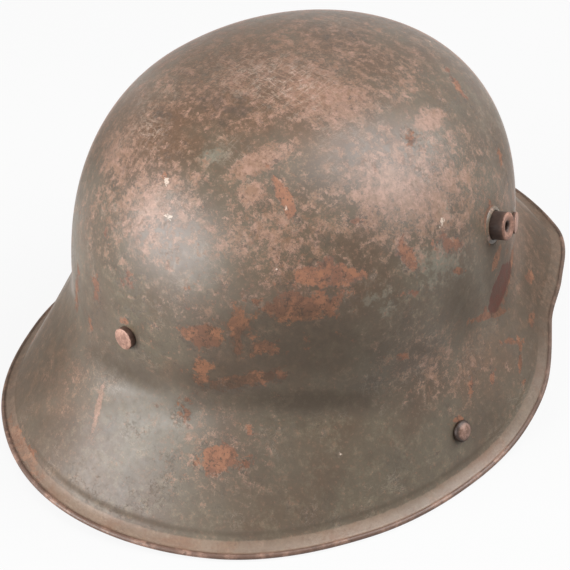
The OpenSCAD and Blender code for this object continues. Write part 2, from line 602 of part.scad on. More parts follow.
// Cushions: stuffed, crowned, between the band and a pad
CUSHION_COLS = 20;
CUSHION_ROWS = 8;
CUSHION_BACK = 4;
CUSHION_ENDS = 0.62;
CUSHION_FULL = 0.94;
CUSHION_EDGE = 0.05;
CUSHION_SPAN = 0.46;
CUSHION_TIP = 0.995;
CUSHION_DROP = 4;
CUSHION_Z = BULGE_TOP - CUSHION_DROP;
function cushion_section(q, k) =
    let (crown = pow(1 - pow(abs(k), 3), 1 / 3), half = cushion_h / 2 * mix(CUSHION_ENDS, 1, crown),
        mid = CUSHION_Z + cushion_h / 2, back = band_in(q, mid) - CUSHION_BACK,
        face = [for (i = [0:CUSHION_ROWS]) let (v = 1 - 2 * i / CUSHION_ROWS,
            z = mid + half * v, room = pad_r(q, z) + SOFT_GAP)
            [mix(dome_side(q, z) - CUSHION_BACK, room, CUSHION_EDGE
                + CUSHION_FULL * crown * pow(1 - pow(abs(v), 3), 1 / 3)), z]])
    concat([for (i = [CUSHION_ROWS:-1:0]) let (v = 1 - 2 * i / CUSHION_ROWS)
        [dome_side(q, mid + half * v) - CUSHION_BACK, mid + half * v]], face);
function dome_side(q, z) = band_in(q, z);
function pad_r(q, z) = z < PAD_BASE ? pad_low(q, z).x
    : pad_high(q, asin(pow((z - PAD_BASE) / (crown_h - crown_gap - PAD_BASE), roundness(q) / 2))).x;
module cushion(q0) loft([for (i = [0:CUSHION_COLS]) let (k = 2 * i / CUSHION_COLS - 1,
    q = q0 + pad_span * CUSHION_SPAN * k) [for (p = cushion_section(q, k * CUSHION_TIP)) place(q, p)]]);
module front_cushion() color("tan") cushion(PAD_Q[0]);
module left_cushion() color("tan") cushion(PAD_Q[1]);
module right_cushion() color("tan") cushion(PAD_Q[2]);

// Chin strap: a flat leather strap bent to a U, swung down until it meets the table
CLIP_X = mix(BOSS_FACE_X, POST_HEAD_X, 0.5) + clip_t / 2;
STRAP_X = CLIP_X + SEAT_GAP + strap_t;
BUCKLE_H = strap_w + 2 * (SIDE_GAP + buckle_wire);
strap_tilt = asin((POST_Z - BUCKLE_H / 2 - FLOOR_GAP) / strap_reach);
STRAP_U = 16;
module strap_frame() translate([0, POST_Y, POST_Z]) rotate([strap_tilt, 0, 0]) children();
function bend(x, y, r) = [for (a = [0:7.5:90]) [x + r * sin(90 - a), y - r * sin(a)]];
STRAP_SIDE = concat([[STRAP_X, -STRAP_U]],
    bend(STRAP_X - strap_corner_r, -strap_reach + strap_corner_r, strap_corner_r));
STRAP_INSIDE = concat([[STRAP_X - strap_t, -STRAP_U]],
    bend(STRAP_X - strap_corner_r, -strap_reach + strap_corner_r, strap_corner_r - strap_t));
function other_side(line) = [for (i = [len(line) - 1:-1:0]) [-line[i].x, line[i].y]];
module strap_rivet_seats() both_sides() for (u = STRAP_RIVET_U)
    across(STRAP_X, -u, 0) children();
module chin_strap() color("saddlebrown") strap_frame() difference() {
    translate([0, 0, -strap_w / 2]) linear_extrude(strap_w)
        polygon(concat(STRAP_SIDE, other_side(STRAP_SIDE),
            reversed(other_side(STRAP_INSIDE)), reversed(STRAP_INSIDE)));
    strap_rivet_seats() bored(pad_shank_d + 2 * FIT_GAP, PIERCE_ALL);
    both_sides() across(STRAP_X, -gate_pivot_u, 0)
        bored(PIN_HEAD_D + 2 * PIN_ROOM, PIERCE_ALL);
}

// Clips: a keyhole plate on each post, whose gate keeps the post in the narrow end
CLIP_W = post_head_d + 7;
CLIP_NECK_U = 5;
CLIP_END_U = 42;
KEYHOLE_ROOM = 0.6;
module clip() translate([CLIP_X, 0, 0]) rotate([0, -90, 0]) difference() {
    union() {
        cylinder(d = CLIP_W, h = clip_t, $fn = 48);
        translate([-CLIP_W / 2, -keyhole_l, 0]) cube([CLIP_W, keyhole_l, clip_t]);
        translate([-strap_w / 2, -CLIP_END_U, 0]) cube([strap_w, CLIP_END_U - CLIP_NECK_U, clip_t]);
        translate([0, -keyhole_l, 0]) cylinder(d = CLIP_W, h = clip_t, $fn = 48);
    }
    bored(post_d + 2 * RUN_GAP, PIERCE);
    translate([-post_d / 2 - RUN_GAP, -keyhole_l, -PIERCE])
        cube([post_d + 2 * RUN_GAP, keyhole_l, 2 * PIERCE]);
    translate([0, -keyhole_l, 0]) bored(post_head_d + 2 * KEYHOLE_ROOM, PIERCE);
    for (u = STRAP_RIVET_U) translate([0, -u, 0]) bored(pad_shank_d + 2 * FIT_GAP, PIERCE);
    translate([0, -gate_pivot_u, 0]) bored(gate_pin_d + 2 * FIT_GAP, PIERCE);
}
module left_clip() color("slategray") strap_frame() clip();
module right_clip() color("slategray") strap_frame() right_side() clip();
SMALL_HEAD_D = pad_head_d - 1;
SMALL_HEAD_T = 0.8;
STRAP_GRIP = strap_t + 2 * SEAT_GAP + clip_t;
module strap_rivets() color("gray") strap_frame() strap_rivet_seats() {
    translate([0, 0, -SMALL_HEAD_T - SEAT_GAP])
        cylinder(d = SMALL_HEAD_D, h = SMALL_HEAD_T, $fn = 32);
    translate([0, 0, -SMALL_HEAD_T])
        cylinder(d = pad_shank_d, h = STRAP_GRIP + 1.5 * SMALL_HEAD_T, $fn = 32);
    translate([0, 0, STRAP_GRIP]) cylinder(d = SMALL_HEAD_D, h = SMALL_HEAD_T, $fn = 32);
}

// Gates: a lever flat on each clip, turning on a pin
GATE_GAP = 0.15;
GATE_X = CLIP_X - clip_t - GATE_GAP;
GATE_W = 7;
GATE_TIP_GAP = 0.6;
GATE_TIP_U = post_d / 2 + GATE_TIP_GAP;
THUMB_OUT = 3;
THUMB_L = 2.4;
PIN_HEAD_D = gate_pin_d + 2;
PIN_HEAD_T = 0.8;
PIN_ROOM = 1;
module gate() translate([GATE_X, 0, 0]) rotate([0, -90, 0]) difference() {
    union() {
        translate([0, -gate_pivot_u, 0]) cylinder(d = GATE_W, h = gate_t, $fn = 48);
        translate([-GATE_W / 2, -gate_pivot_u, 0])
            cube([GATE_W, gate_pivot_u - GATE_TIP_U, gate_t]);
        translate([0, -gate_pivot_u, 0]) cube([GATE_W + THUMB_OUT, THUMB_L, gate_t]);
    }
    translate([0, -gate_pivot_u, 0]) bored(gate_pin_d + 2 * RUN_GAP, PIERCE);
}
module left_gate() color("slategray") strap_frame() gate();
module right_gate() color("slategray") strap_frame() right_side() gate();
module gate_pins() color("gray") strap_frame() both_sides() across(CLIP_X, -gate_pivot_u, 0) {
    translate([0, 0, -PIN_HEAD_T - SEAT_GAP]) cylinder(d = PIN_HEAD_D, h = PIN_HEAD_T, $fn = 48);
    translate([0, 0, -PIN_HEAD_T]) cylinder(d = gate_pin_d,
        h = 1.5 * PIN_HEAD_T + clip_t + gate_t + 2 * GATE_GAP, $fn = 48);
    translate([0, 0, clip_t + gate_t + 2 * GATE_GAP])
        cylinder(d = PIN_HEAD_D, h = PIN_HEAD_T, $fn = 48);
}

// Sliding buckle round the strap under the chin
module buckle() color("slategray") strap_frame()
    translate([0, -strap_reach + strap_t / 2, 0]) difference() {
        cube([buckle_w, strap_t + 2 * (SIDE_GAP + buckle_wire), BUCKLE_H], center = true);
        cube([2 * buckle_w, strap_t + 2 * SIDE_GAP, strap_w + 2 * SIDE_GAP], center = true);
    }

shell();
left_vent_lug();
right_vent_lug();
rear_liner_rivet();
left_liner_rivet();
right_liner_rivet();
rear_washer();
left_washer();
right_washer();
left_chin_rivet();
right_chin_rivet();
left_strap_lug();
right_strap_lug();
liner_band();
band_rivets();
front_pad();
left_pad();
right_pad();
front_pad_rivets();
left_pad_rivets();
right_pad_rivets();
front_cushion();
left_cushion();
right_cushion();
chin_strap();
left_clip();
right_clip();
strap_rivets();
left_gate();
right_gate();
gate_pins();
buckle();
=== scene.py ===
"""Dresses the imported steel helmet: worn grey-green paint, rust, leather liner and strap.

Sizes are in millimetres until a mesh is made, and in metres from then on.
The visor points to -Y, the nape to +Y and the wearer's left to +X.
"""
import itertools
import math
import random

import bmesh
import bpy
import numpy as np
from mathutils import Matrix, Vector


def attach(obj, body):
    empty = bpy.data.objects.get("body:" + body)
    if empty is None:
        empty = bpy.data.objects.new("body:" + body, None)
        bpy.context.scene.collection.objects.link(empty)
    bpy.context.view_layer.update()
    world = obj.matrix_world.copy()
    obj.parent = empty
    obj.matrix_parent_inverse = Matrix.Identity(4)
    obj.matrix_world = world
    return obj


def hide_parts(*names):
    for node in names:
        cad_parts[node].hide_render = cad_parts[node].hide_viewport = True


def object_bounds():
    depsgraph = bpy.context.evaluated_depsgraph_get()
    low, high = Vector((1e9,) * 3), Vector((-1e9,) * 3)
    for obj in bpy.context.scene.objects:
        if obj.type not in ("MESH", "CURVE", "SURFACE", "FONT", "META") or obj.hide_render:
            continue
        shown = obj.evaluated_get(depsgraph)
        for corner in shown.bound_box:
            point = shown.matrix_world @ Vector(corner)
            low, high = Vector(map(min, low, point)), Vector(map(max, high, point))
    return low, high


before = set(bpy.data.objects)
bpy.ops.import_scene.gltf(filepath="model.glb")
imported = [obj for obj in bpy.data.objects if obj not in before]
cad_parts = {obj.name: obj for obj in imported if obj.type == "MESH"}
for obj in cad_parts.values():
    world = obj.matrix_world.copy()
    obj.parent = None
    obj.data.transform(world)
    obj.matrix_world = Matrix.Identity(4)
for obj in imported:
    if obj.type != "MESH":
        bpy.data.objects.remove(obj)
CAD_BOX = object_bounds()
MM = 0.001

# Camera fitted to the photograph
PHOTO_PX = 570
FOCAL_PX = 2323.94
SENSOR_MM = 36
CAMERA_AZ = 223.17
CAMERA_EL = 37.39
CAMERA_DISTANCE = 1.12507
CAMERA_TARGET = Vector((0.0001, 0.00015, 0.04978))


def set_all(thing, **settings):
    """Sets attributes by name and returns the thing."""
    for name, value in settings.items():
        setattr(thing, name, value)
    return thing


def new_object(name, data):
    """An object in the scene."""
    obj = bpy.data.objects.new(name, data)
    bpy.context.scene.collection.objects.link(obj)
    return obj


def away(az, el):
    """Direction from the object to a camera at that azimuth and elevation."""
    a, e = math.radians(az), math.radians(el)
    return Vector((math.sin(a) * math.cos(e), -math.cos(a) * math.cos(e), math.sin(e)))


BACK = away(CAMERA_AZ, CAMERA_EL)
CAMERA_AT = CAMERA_TARGET + CAMERA_DISTANCE * BACK
CAMERA_TURN = (-BACK).to_track_quat("-Z", "Y")
camera_data = set_all(bpy.data.cameras.new("photo_camera"), sensor_width=SENSOR_MM,
                      lens=FOCAL_PX / PHOTO_PX * SENSOR_MM, clip_start=0.05)
camera = set_all(new_object("photo_camera", camera_data), location=CAMERA_AT,
                 rotation_euler=CAMERA_TURN.to_euler())
bpy.context.scene.camera = camera
bpy.context.scene.view_settings.view_transform = "Standard"


def on_photo(points):
    """Pixels of the photograph at which points in millimetres are seen, and their distances."""
    axes = np.array(CAMERA_TURN.to_matrix())
    seen = (np.asarray(points) * MM - np.array(CAMERA_AT)) @ axes
    far = -seen[..., 2]
    half = PHOTO_PX / 2
    return half + FOCAL_PX * seen[..., 0] / far, half - FOCAL_PX * seen[..., 1] / far, far


# The bowl's sizes, as in the source
CROWN_H = 176
DOME_HALF_W = 100
DOME_FRONT = 122
DOME_REAR = 104
WALL_H = 8
WALL_DRAFT = 0.05
BROW_BLEND = 7
SHEET_T = 1.2
LIP_W = 5
LIP_TURN = 26
LIP_BLEND = 0.6
BEAD_R = 1.4
ROUND_AT = (0, 90, 180)
ROUND_N = (2.5, 2.45, 2.45)
BROW_AT = (0, 52, 90, 135, 180)
BROW_Z = (72, 65, 58.5, 54, 59)
RIM_AT = (0, 24, 40, 52, 64, 76, 90, 120, 150, 180)
RIM_R = (150.5, 149.5, 137, 129.5, 131.5, 127.5, 124.5, 130.5, 143, 150.5)
RIM_Z = (41, 40.5, 39.5, 35, 20, 5, 0, 0, 0.5, 3)


def slopes(xs, ys):
    """Slopes of the smooth line through the points, flat at peaks and ends."""
    h = np.diff(xs)
    s = np.diff(ys) / h
    out = np.zeros(len(xs))
    for i in range(1, len(xs) - 1):
        if s[i - 1] * s[i] > 0:
            whole = 3 * (h[i - 1] + h[i])
            out[i] = whole / ((2 * h[i] + h[i - 1]) / s[i - 1] + (h[i] + 2 * h[i - 1]) / s[i])
    return out


def along(q, xs, ys):
    """Height at q of the smooth line through the points."""
    xs, ys = np.asarray(xs, float), np.asarray(ys, float)
    m = slopes(xs, ys)
    i = np.clip(np.searchsorted(xs, q, side="right") - 1, 0, len(xs) - 2)
    h = xs[i + 1] - xs[i]
    t = (q - xs[i]) / h
    u = 1 - t
    return ((1 + 2 * t) * u * u * ys[i] + t * u * u * h * m[i]
            + t * t * (3 - 2 * t) * ys[i + 1] + t * t * (t - 1) * h * m[i + 1])


def folded(q):
    a = np.abs(q) % 360
    return np.where(a > 180, 360 - a, a)


def brow_z(q):
    return along(folded(q), BROW_AT, BROW_Z)


def roundness(q):
    return along(folded(q), ROUND_AT, ROUND_N)


def plan_r(q):
    a = np.radians(q)
    reach = np.where(np.cos(a) > 0, DOME_FRONT, DOME_REAR)
    return 1 / np.sqrt((np.sin(a) / DOME_HALF_W) ** 2 + (np.cos(a) / reach) ** 2)


def pair(r, z):
    r, z = np.broadcast_arrays(r, z)
    return np.stack([r, z], axis=-1).astype(float)


def unit(v):
    return v / np.linalg.norm(v, axis=-1, keepdims=True)


def turned(v, degrees):
    c, s = math.cos(math.radians(degrees)), math.sin(math.radians(degrees))
    return np.stack([v[..., 0] * c - v[..., 1] * s, v[..., 0] * s + v[..., 1] * c], axis=-1)


def mixed(a, b, k):
    return a + (b - a) * k


def placed(q, p):
    """Points (radius, height) at the angle q from the front, in space."""
    a = np.radians(q)
    return np.stack([p[..., 0] * np.sin(a), -p[..., 0] * np.cos(a), p[..., 1]], axis=-1)


def wall_top(q):
    return brow_z(q) + WALL_H


def dome_r(q, z):
    n, top, r = roundness(q), wall_top(q), plan_r(q)
    up = np.clip((z - top) / (CROWN_H - top), 0, 1)
    return np.where(z < top, r + WALL_DRAFT * (top - z), r * (1 - up ** n) ** (1 / n))


def brow_pt(q):
    return pair(plan_r(q) + WALL_DRAFT * WALL_H, brow_z(q))


def bead_pt(q):
    return pair(along(folded(q), RIM_AT, RIM_R) - BEAD_R, along(folded(q), RIM_AT, RIM_Z) + BEAD_R)


def lip_dir(q):
    return turned(unit(bead_pt(q) - brow_pt(q)), LIP_TURN)


def lip_end(q):
    along_lip = math.sqrt(BEAD_R ** 2 - SHEET_T ** 2 / 4)
    return bead_pt(q) + turned(lip_dir(q), 90) * SHEET_T / 2 - lip_dir(q) * along_lip


def lip_start(q):
    return lip_end(q) - lip_dir(q) * LIP_W


def skirt_at(q, z):
    a, b = brow_pt(q), lip_start(q)
    k = ((a[..., 1] - z) / (a[..., 1] - b[..., 1]))[..., None]
    return placed(q, mixed(a, b, k))


def surface_out(at, q, z):
    """Outward direction of a surface at(q, z)."""
    return unit(np.cross(at(q + 0.5, z) - at(q - 0.5, z), at(q, z + 0.5) - at(q, z - 0.5)))


def dome_at(q, z):
    return placed(q, pair(dome_r(q, z), z))


def bent(a, b, c, k):
    return a * (1 - k) ** 2 + 2 * b * k * (1 - k) + c * k * k


# Rows of the bowl's mesh, from the crown down the outside and up the inside
DOME_ROWS = 120
BLEND_ROWS = 10
SKIRT_ROWS = 60
LIP_ROWS = 8
BEAD_ROWS = 16
INSIDE_STEP = 2
BOWL_COLS = 540


def outside_lines(q):
    """Outside of the sheet from under the crown to the bead, for every angle in q."""
    n, top, r = roundness(q), wall_top(q), plan_r(q)
    lines = []
    for i in range(1, DOME_ROWS + 1):
        a = math.radians(90 * (1 - i / DOME_ROWS))
        lines.append(pair(r * math.cos(a) ** (2 / n), top + (CROWN_H - top) * math.sin(a) ** (2 / n)))
    bend, lip, end = brow_pt(q), lip_start(q), lip_end(q)
    down = unit(lip - bend)
    lip_blend = LIP_W * LIP_BLEND
    a = bend + unit(pair(r, top) - bend) * BROW_BLEND
    b = bend + down * BROW_BLEND
    c = lip - down * lip_blend
    d = lip + lip_dir(q) * lip_blend
    lines += [bent(a, bend, b, i / BLEND_ROWS) for i in range(BLEND_ROWS + 1)]
    lines += [mixed(b, c, i / SKIRT_ROWS) for i in range(1, SKIRT_ROWS + 1)]
    lines += [bent(c, lip, d, i / LIP_ROWS) for i in range(1, LIP_ROWS + 1)]
    return np.stack(lines + [mixed(d, end, 0.5), end])


def line_out(lines):
    ahead = np.concatenate([lines[1:], lines[-1:]])
    behind = np.concatenate([lines[:1] * 0 + [0, CROWN_H], lines[:-1]])
    return turned(unit(ahead - behind), 90)


def bead_lines(q):
    neck = math.asin(SHEET_T / 2 / BEAD_R)
    sweep = 2 * math.pi - 2 * neck
    axis, out, lines = lip_dir(q), turned(lip_dir(q), 90), []
    for i in range(1, BEAD_ROWS):
        a = math.pi - neck - sweep * i / BEAD_ROWS
        lines.append(bead_pt(q) + BEAD_R * (math.cos(a) * axis + math.sin(a) * out))
    return np.stack(lines)


def link(name, vertices, faces):
    """A smooth mesh object from points in millimetres."""
    mesh = bpy.data.meshes.new(name)
    mesh.from_pydata([tuple(v) for v in np.asarray(vertices) * MM], [], faces)
    mesh.validate()
    mesh.shade_smooth()
    return new_object(name, mesh)


def grid_faces(rows, cols, wrap_rows=False, wrap_cols=False, start=0):
    faces = []
    for i in range(rows if wrap_rows else rows - 1):
        for j in range(cols if wrap_cols else cols - 1):
            a, b = i * cols, (i + 1) % rows * cols
            k = (j + 1) % cols
            faces.append((start + a + j, start + b + j, start + b + k, start + a + k))
    return faces


def bowl_mesh():
    """Vertices and faces of the bowl, and of each vertex the part (0 out, 1 bead, 2 in) and row."""
    q = np.arange(BOWL_COLS) * 360 / BOWL_COLS
    outside = outside_lines(q)
    inside = (outside - SHEET_T * line_out(outside))[::-1]
    inside = np.concatenate([inside[:LIP_ROWS + 2], inside[LIP_ROWS + 2::INSIDE_STEP]])
    bead = bead_lines(q)
    rows = np.concatenate([outside, bead, inside])
    points = placed(q[None, :], rows)
    part = np.concatenate([np.zeros(len(outside)), np.ones(len(bead)), np.full(len(inside), 2)])
    part = np.append(np.repeat(part, BOWL_COLS), [0, 2])
    row = np.append(np.repeat(np.arange(len(rows)), BOWL_COLS), [0, 0])
    vertices = np.concatenate([points.reshape(-1, 3), [[0, 0, CROWN_H], [0, 0, CROWN_H - SHEET_T]]])
    vertices = np.clip(vertices, np.array(CAD_BOX[0]) / MM, np.array(CAD_BOX[1]) / MM)
    top, last = len(vertices) - 2, (len(rows) - 1) * BOWL_COLS
    faces = grid_faces(len(rows), BOWL_COLS, wrap_cols=True)
    for j in range(BOWL_COLS):
        k = (j + 1) % BOWL_COLS
        faces.append((top, j, k))
        faces.append((top + 1, last + k, last + j))
    return vertices, faces, part, row


def srgb(r, g, b):
    """A colour as it is seen on a screen, 0 to 255, for a shader."""
    def linear(c):
        c /= 255
        return c / 12.92 if c <= 0.04045 else ((c + 0.055) / 1.055) ** 2.4
    return linear(r), linear(g), linear(b), 1


def add_node(tree, kind, inputs=(), **settings):
    """A shader node with its settings, its inputs linked or set by name or number."""
    node = set_all(tree.nodes.new("ShaderNode" + kind), **settings)
    for socket, value in dict(inputs).items():
        if isinstance(value, bpy.types.NodeSocket):
            tree.links.new(value, node.inputs[socket])
        else:
            node.inputs[socket].default_value = value
    return node


def node_material(name):
    """A material without nodes, and its tree."""
    material = bpy.data.materials.new(name)
    material.use_nodes = True
    material.node_tree.nodes.clear()
    return material, material.node_tree


class Paint:
    """A material under construction: each method adds a node and returns its output."""

    def __init__(self, name):
        self.material, self.tree = node_material(name)
        self.object = self.add("TexCoord").outputs["Object"]

    def add(self, kind, inputs=(), **settings):
        return add_node(self.tree, kind, inputs, **settings)

    def field(self, name):
        return self.add("Attribute", attribute_name=name).outputs["Fac"]

    def stretched(self, scale, turn=(0, 0, 0)):
        turn = [math.radians(t) for t in turn]
        return self.add("Mapping", {"Vector": self.object, "Scale": scale, "Rotation": turn}).outputs[0]

    def noise(self, size, detail=6, rough=0.6, at=None):
        """Noise whose largest marks are about size millimetres wide, or at stretched places."""
        inputs = {"Vector": at or self.object, "Scale": size if at else 1 / (size * MM)}
        inputs |= {"Detail": detail, "Roughness": rough, "Distortion": 0}
        return self.add("TexNoise", inputs).outputs["Fac"]

    def cells(self, size, feature="F1"):
        inputs = {"Vector": self.object, "Scale": 1 / (size * MM)}
        return self.add("TexVoronoi", inputs, feature=feature).outputs["Distance"]

    def math(self, operation, a, b=0.0):
        return self.add("Math", {0: a, 1: b}, operation=operation).outputs[0]

    def times(self, a, b):
        return self.math("MULTIPLY", a, b)

    def plus(self, a, b):
        return self.math("ADD", a, b)

    def minus(self, a, b):
        return self.math("SUBTRACT", a, b)

    def most(self, a, b):
        return self.math("MAXIMUM", a, b)

    def step(self, value, low, high, to=1.0, start=0.0):
        """From start to the value to, as value goes from low to high."""
        inputs = {"Value": value, "From Min": low, "From Max": high, "To Min": start, "To Max": to}
        return self.add("MapRange", inputs, interpolation_type="SMOOTHSTEP").outputs[0]

    def patches(self, size, detail, rough, low, high, to=1.0, start=0.0):
        """Patches of noise, about size millimetres wide."""
        return self.step(self.noise(size, detail, rough), low, high, to, start)

    def spread(self, noise, amount):
        """Noise about zero, from its narrow range round a half."""
        return self.times(self.minus(noise, 0.5), amount)

    def lines(self, noise, low, high, to=1.0):
        """Thin lines where a noise crosses a half."""
        return self.step(self.math("ABSOLUTE", self.minus(noise, 0.5)), low, high, to)

    def blend(self, share, a, b):
        return self.add("Mix", {"Factor": share, 6: a, 7: b}, data_type="RGBA").outputs[2]

    def layered(self, colour, *layers):
        """The colour under layers, each a share and a colour."""
        for share, top in layers:
            colour = self.blend(share, colour, top)
        return colour

    def finish(self, colour, roughness, height, depth=0.1, **sockets):
        """The material, with bumps as deep as depth millimetres."""
        bump = self.add("Bump", {"Distance": depth * MM, "Height": height}).outputs[0]
        inputs = {"Base Color": colour, "Roughness": roughness, "Normal": bump}
        inputs |= {name.replace("_", " "): value for name, value in sockets.items()}
        shader = self.add("BsdfPrincipled", inputs)
        self.add("OutputMaterial", {"Surface": shader.outputs[0]})
        return self.material


# Marks on the side that the photograph shows, each in its pixels: x, y, half width, half
# height, degrees that it is turned, and strength
RUST = {
    "broad patch under dome": (203, 336, 19, 13, -8, 1.25),
    "red arm": (237, 330, 8, 27, 4, 1.1),
    "streaks": (203, 366, 13, 20, 0, 0.95),
    "dark tail": (245, 381, 44, 9, 9, 0.9),
    "orange patch in middle": (326, 275, 34, 10, 3, 1.4),
    "peak": (326, 264, 11, 9, 0, 1.2),
    "round patches": (255, 322, 76, 70, 0, 0.36),
    "brown patch below it": (303, 308, 42, 14, 9, 1.25),
    "right arm": (352, 272, 14, 7, -20, 1.0),
    "small patch left of it": (256, 300, 9, 5, 0, 0.8),
    "scar above it": (285, 199, 6, 23, 28, 1.35),
    "patch on band": (400, 356, 15, 5, 0, 0.65),
    "skirt patch": (221, 458, 24, 19, 8, 1.0),
    "skirt patch's spur": (184, 412, 9, 11, 0, 0.75),
    "skirt spot": (250, 431, 4, 8, 0, 0.85),
    "streak over rear rivet": (96, 285, 4, 24, 4, 0.8),
    "streak's lower end": (91, 325, 3, 12, 0, 0.75),
    "spot at rear rivet": (123, 322, 7, 4, 0, 1.0),
    "left edge": (77, 290, 2, 26, 0, 0.7),
    "run by stain": (497, 258, 2.4, 13, -16, 1.5),
    "run at stain's right": (510, 268, 1.6, 32, -8, 1.25),
    "foot of stain": (488, 316, 18, 3.5, 17, 1.4),
    "foot of lug": (490.5, 222, 5, 16, 0, 1.6),
    "spot by stain": (485, 312, 3, 8, 0, 0.7),
    "pink mark on visor": (530, 278, 4, 7, 0, 0.85),
    "second mark on visor": (531, 320, 4, 9, 0, 0.85),
    "specks on visor": (516, 342, 14, 5, 0, 0.7),
    "visor streak": (520, 362, 2, 16, 0, 0.95),
    "visor speck": (524, 381, 3, 5, 0, 0.9),
    "skirt edge spot": (492, 377, 3, 10, 0, 0.9),
    "over chin rivet": (459, 420, 6, 3, 0, 1.3),
    "pale skirt edge spot": (472, 386, 5, 14, 0, 0.75),
    "low skirt spot": (339, 454, 3, 3, 0, 0.9),
    "left lip": (24, 450, 9, 40, 30, 0.9),
    "red mark on dome": (407, 256, 7, 16, 24, 1.2),
    "streak under it": (414, 292, 14, 4, 12, 0.8),
    "mark over it": (356, 221, 11, 4, 0, 0.75),
    "ring by lug": (449, 244, 13, 11, 10, 0.95),
    "speck by ring": (458, 271, 8, 4, 0, 0.75),
    "small mark": (336, 309, 6, 5, 0, 0.8),
    "round stain": (502, 286, 12, 42, -10, 0.4),
    "long streak by right edge": (460, 90, 3, 26, 34, 0.75),
    "right edge": (499, 154, 3, 16, 12, 0.75),
    "spots under crown": (411, 139, 12, 9, 0, 0.62),
    "left dome mark": (106, 236, 3, 12, 12, 0.7),
    "orange speck left": (165, 176, 4, 5, 0, 0.75),
    "fleck over scar": (276, 180, 8, 4, 30, 0.6),
    "low dome spots": (262, 348, 16, 9, 0, 0.85),
    "left dome spots": (128, 283, 12, 14, 0, 0.55),
}
WEAR = {
    "crown": (275, 75, 150, 62, 8, 0.52),
    "crown's heart": (322, 97, 50, 28, -12, 0.95),
    "pink patch": (262, 160, 32, 12, 24, 1.1),
    "pink patch's lower half": (253, 191, 15, 14, 0, 1.0),
    "branching marks": (405, 82, 32, 22, 20, 0.5),
    "patch right of crown": (428, 121, 15, 11, 20, 1.2),
    "left shoulder": (115, 150, 36, 30, -60, 0.65),
    "left dome": (150, 205, 60, 60, 0, 0.64),
    "middle dome": (270, 235, 80, 60, 0, 0.58),
    "right dome": (408, 192, 84, 62, 0, 0.76),
    "lower dome": (240, 320, 90, 46, 0, 0.32),
    "visor": (525, 250, 26, 60, 10, 0.7),
    "left skirt": (60, 370, 46, 50, 0, 0.34),
    "skirt streak": (98, 408, 2.4, 27, -12, 1.3),
    "lower skirt": (220, 450, 60, 50, 0, 0.42),
    "right skirt": (440, 370, 70, 40, 0, 0.4),
}
SMUDGE = {
    "upper left": (230, 108, 44, 18, 8, 0.8),
    "left": (163, 114, 13, 9, 0, 0.8),
    "crown's right": (338, 38, 26, 12, 0, 0.55),
    "dot": (276, 161, 3, 2, 0, 1.2),
    "brown end of tail": (196, 389, 10, 5, 0, 0.8),
    "between patches": (215, 380, 26, 12, 0, 0.5),
    "under tail": (230, 398, 36, 6, 0, 0.5),
    "tail": (240, 384, 48, 10, 9, 1.25),
    # Painted shade over the foot of the dome, in the pits' dark colour
    "foot of dome": (280, 340, 92, 52, 0, 0.44),
    "over crown": (215, 72, 54, 26, 22, 0.4),
    "brown patch": (300, 314, 46, 11, 9, 0.6),
}
STAIN = {
    "under lug": (500, 287, 6, 25, -20, 1.3),
    "foot": (493, 308, 6, 5, 0, 1.0),
}
BLUE = {
    "by ring": (440, 262, 34, 26, 0, 0.9),
    "over ring": (447, 208, 13, 18, 0, 0.9),
    "between patches": (250, 308, 18, 10, 0, 0.9),
    "dome's middle": (252, 245, 30, 26, 0, 0.7),
    "left of crown's foot": (212, 155, 26, 14, 0, 0.8),
    "under crown": (370, 118, 45, 22, 0, 0.6),
    "right of band": (372, 300, 40, 26, 0, 0.55),
    "left lower": (205, 362, 8, 6, 0, 0.6),
}
PALE = {
    "spot by lug": (442, 221, 3, 7, 0, 0.85),
    "spot at left": (168, 216, 5, 3, 0, 1.0),
    "spot over it": (166, 183, 3, 8, 0, 0.8),
    "spot in scar": (285, 208, 4, 3, 0, 0.8),
    "spot low on skirt": (341, 454, 2, 2, 0, 1.0),
    "run by lug": (511, 232, 1, 12, 0, 0.7),
}
BROWN = {
    "crown": (275, 80, 150, 70, -8, 1.0),
    "left of crown": (150, 130, 60, 60, -40, 0.9),
    "left edge": (90, 220, 26, 80, 0, 0.4),
    "left of skirt": (45, 370, 50, 70, -30, 0.8),
    "left lip": (40, 470, 50, 40, -35, 0.6),
    "middle": (265, 300, 110, 70, 0, 0.55),
    "under patches": (250, 370, 90, 30, 0, 0.75),
    "visor": (535, 270, 36, 90, 10, 1.0),
    "right skirt": (480, 360, 40, 60, 0, 0.7),
}
# Painted shade: darker paint where the bowl lies in shade. It gives painted shadows beside the rivets
# and under the lug, and darkens the brow's crease and the dome's foot, the far edges and the top of the
# skirt's highlight
PAINTED_SHADE = {
    "beside chin rivet": (454, 437, 5, 9, 0, 0.8),
    "beside rear rivet": (137, 340, 4, 10, 0, 0.7),
    "low on right of skirt": (495, 415, 30, 30, 30, 0.6),
    "far left of skirt": (42, 360, 32, 72, -32, 1.2),
    "left of brow": (104, 356, 34, 16, -30, 0.95),
    "top of skirt's light": (128, 371, 66, 15, -26, 1.0),
    "left shoulder": (98, 150, 16, 50, -28, 0.8),
    "left lip": (24, 450, 14, 50, 30, 0.5),
    "low on left": (34, 415, 30, 44, 30, 0.7),
    "right edge": (500, 150, 12, 50, 12, 0.6),
    "band": (262, 400, 130, 18, 0, 0.9),
    "low middle": (270, 468, 64, 62, 0, 0.5),
    "crown's left": (228, 58, 74, 34, 15, 0.5),
    "foot of dome": (286, 341, 90, 44, 0, 1.3),
    "by stain": (500, 270, 18, 62, 4, 1.3),
    "under lug": (494, 243, 14, 7, 0, 1.4),
    "under dome": (300, 400, 90, 14, -2, 1.25),
    "foot of dome's left": (222, 374, 58, 22, 6, 1.2),
    "under right of dome": (420, 350, 60, 20, -15, 0.4),
    "by lug": (464, 300, 24, 44, 0, 1.0),
    "visor": (536, 270, 28, 100, 0, 1.15),
}
MARK_SPREAD = 1.7
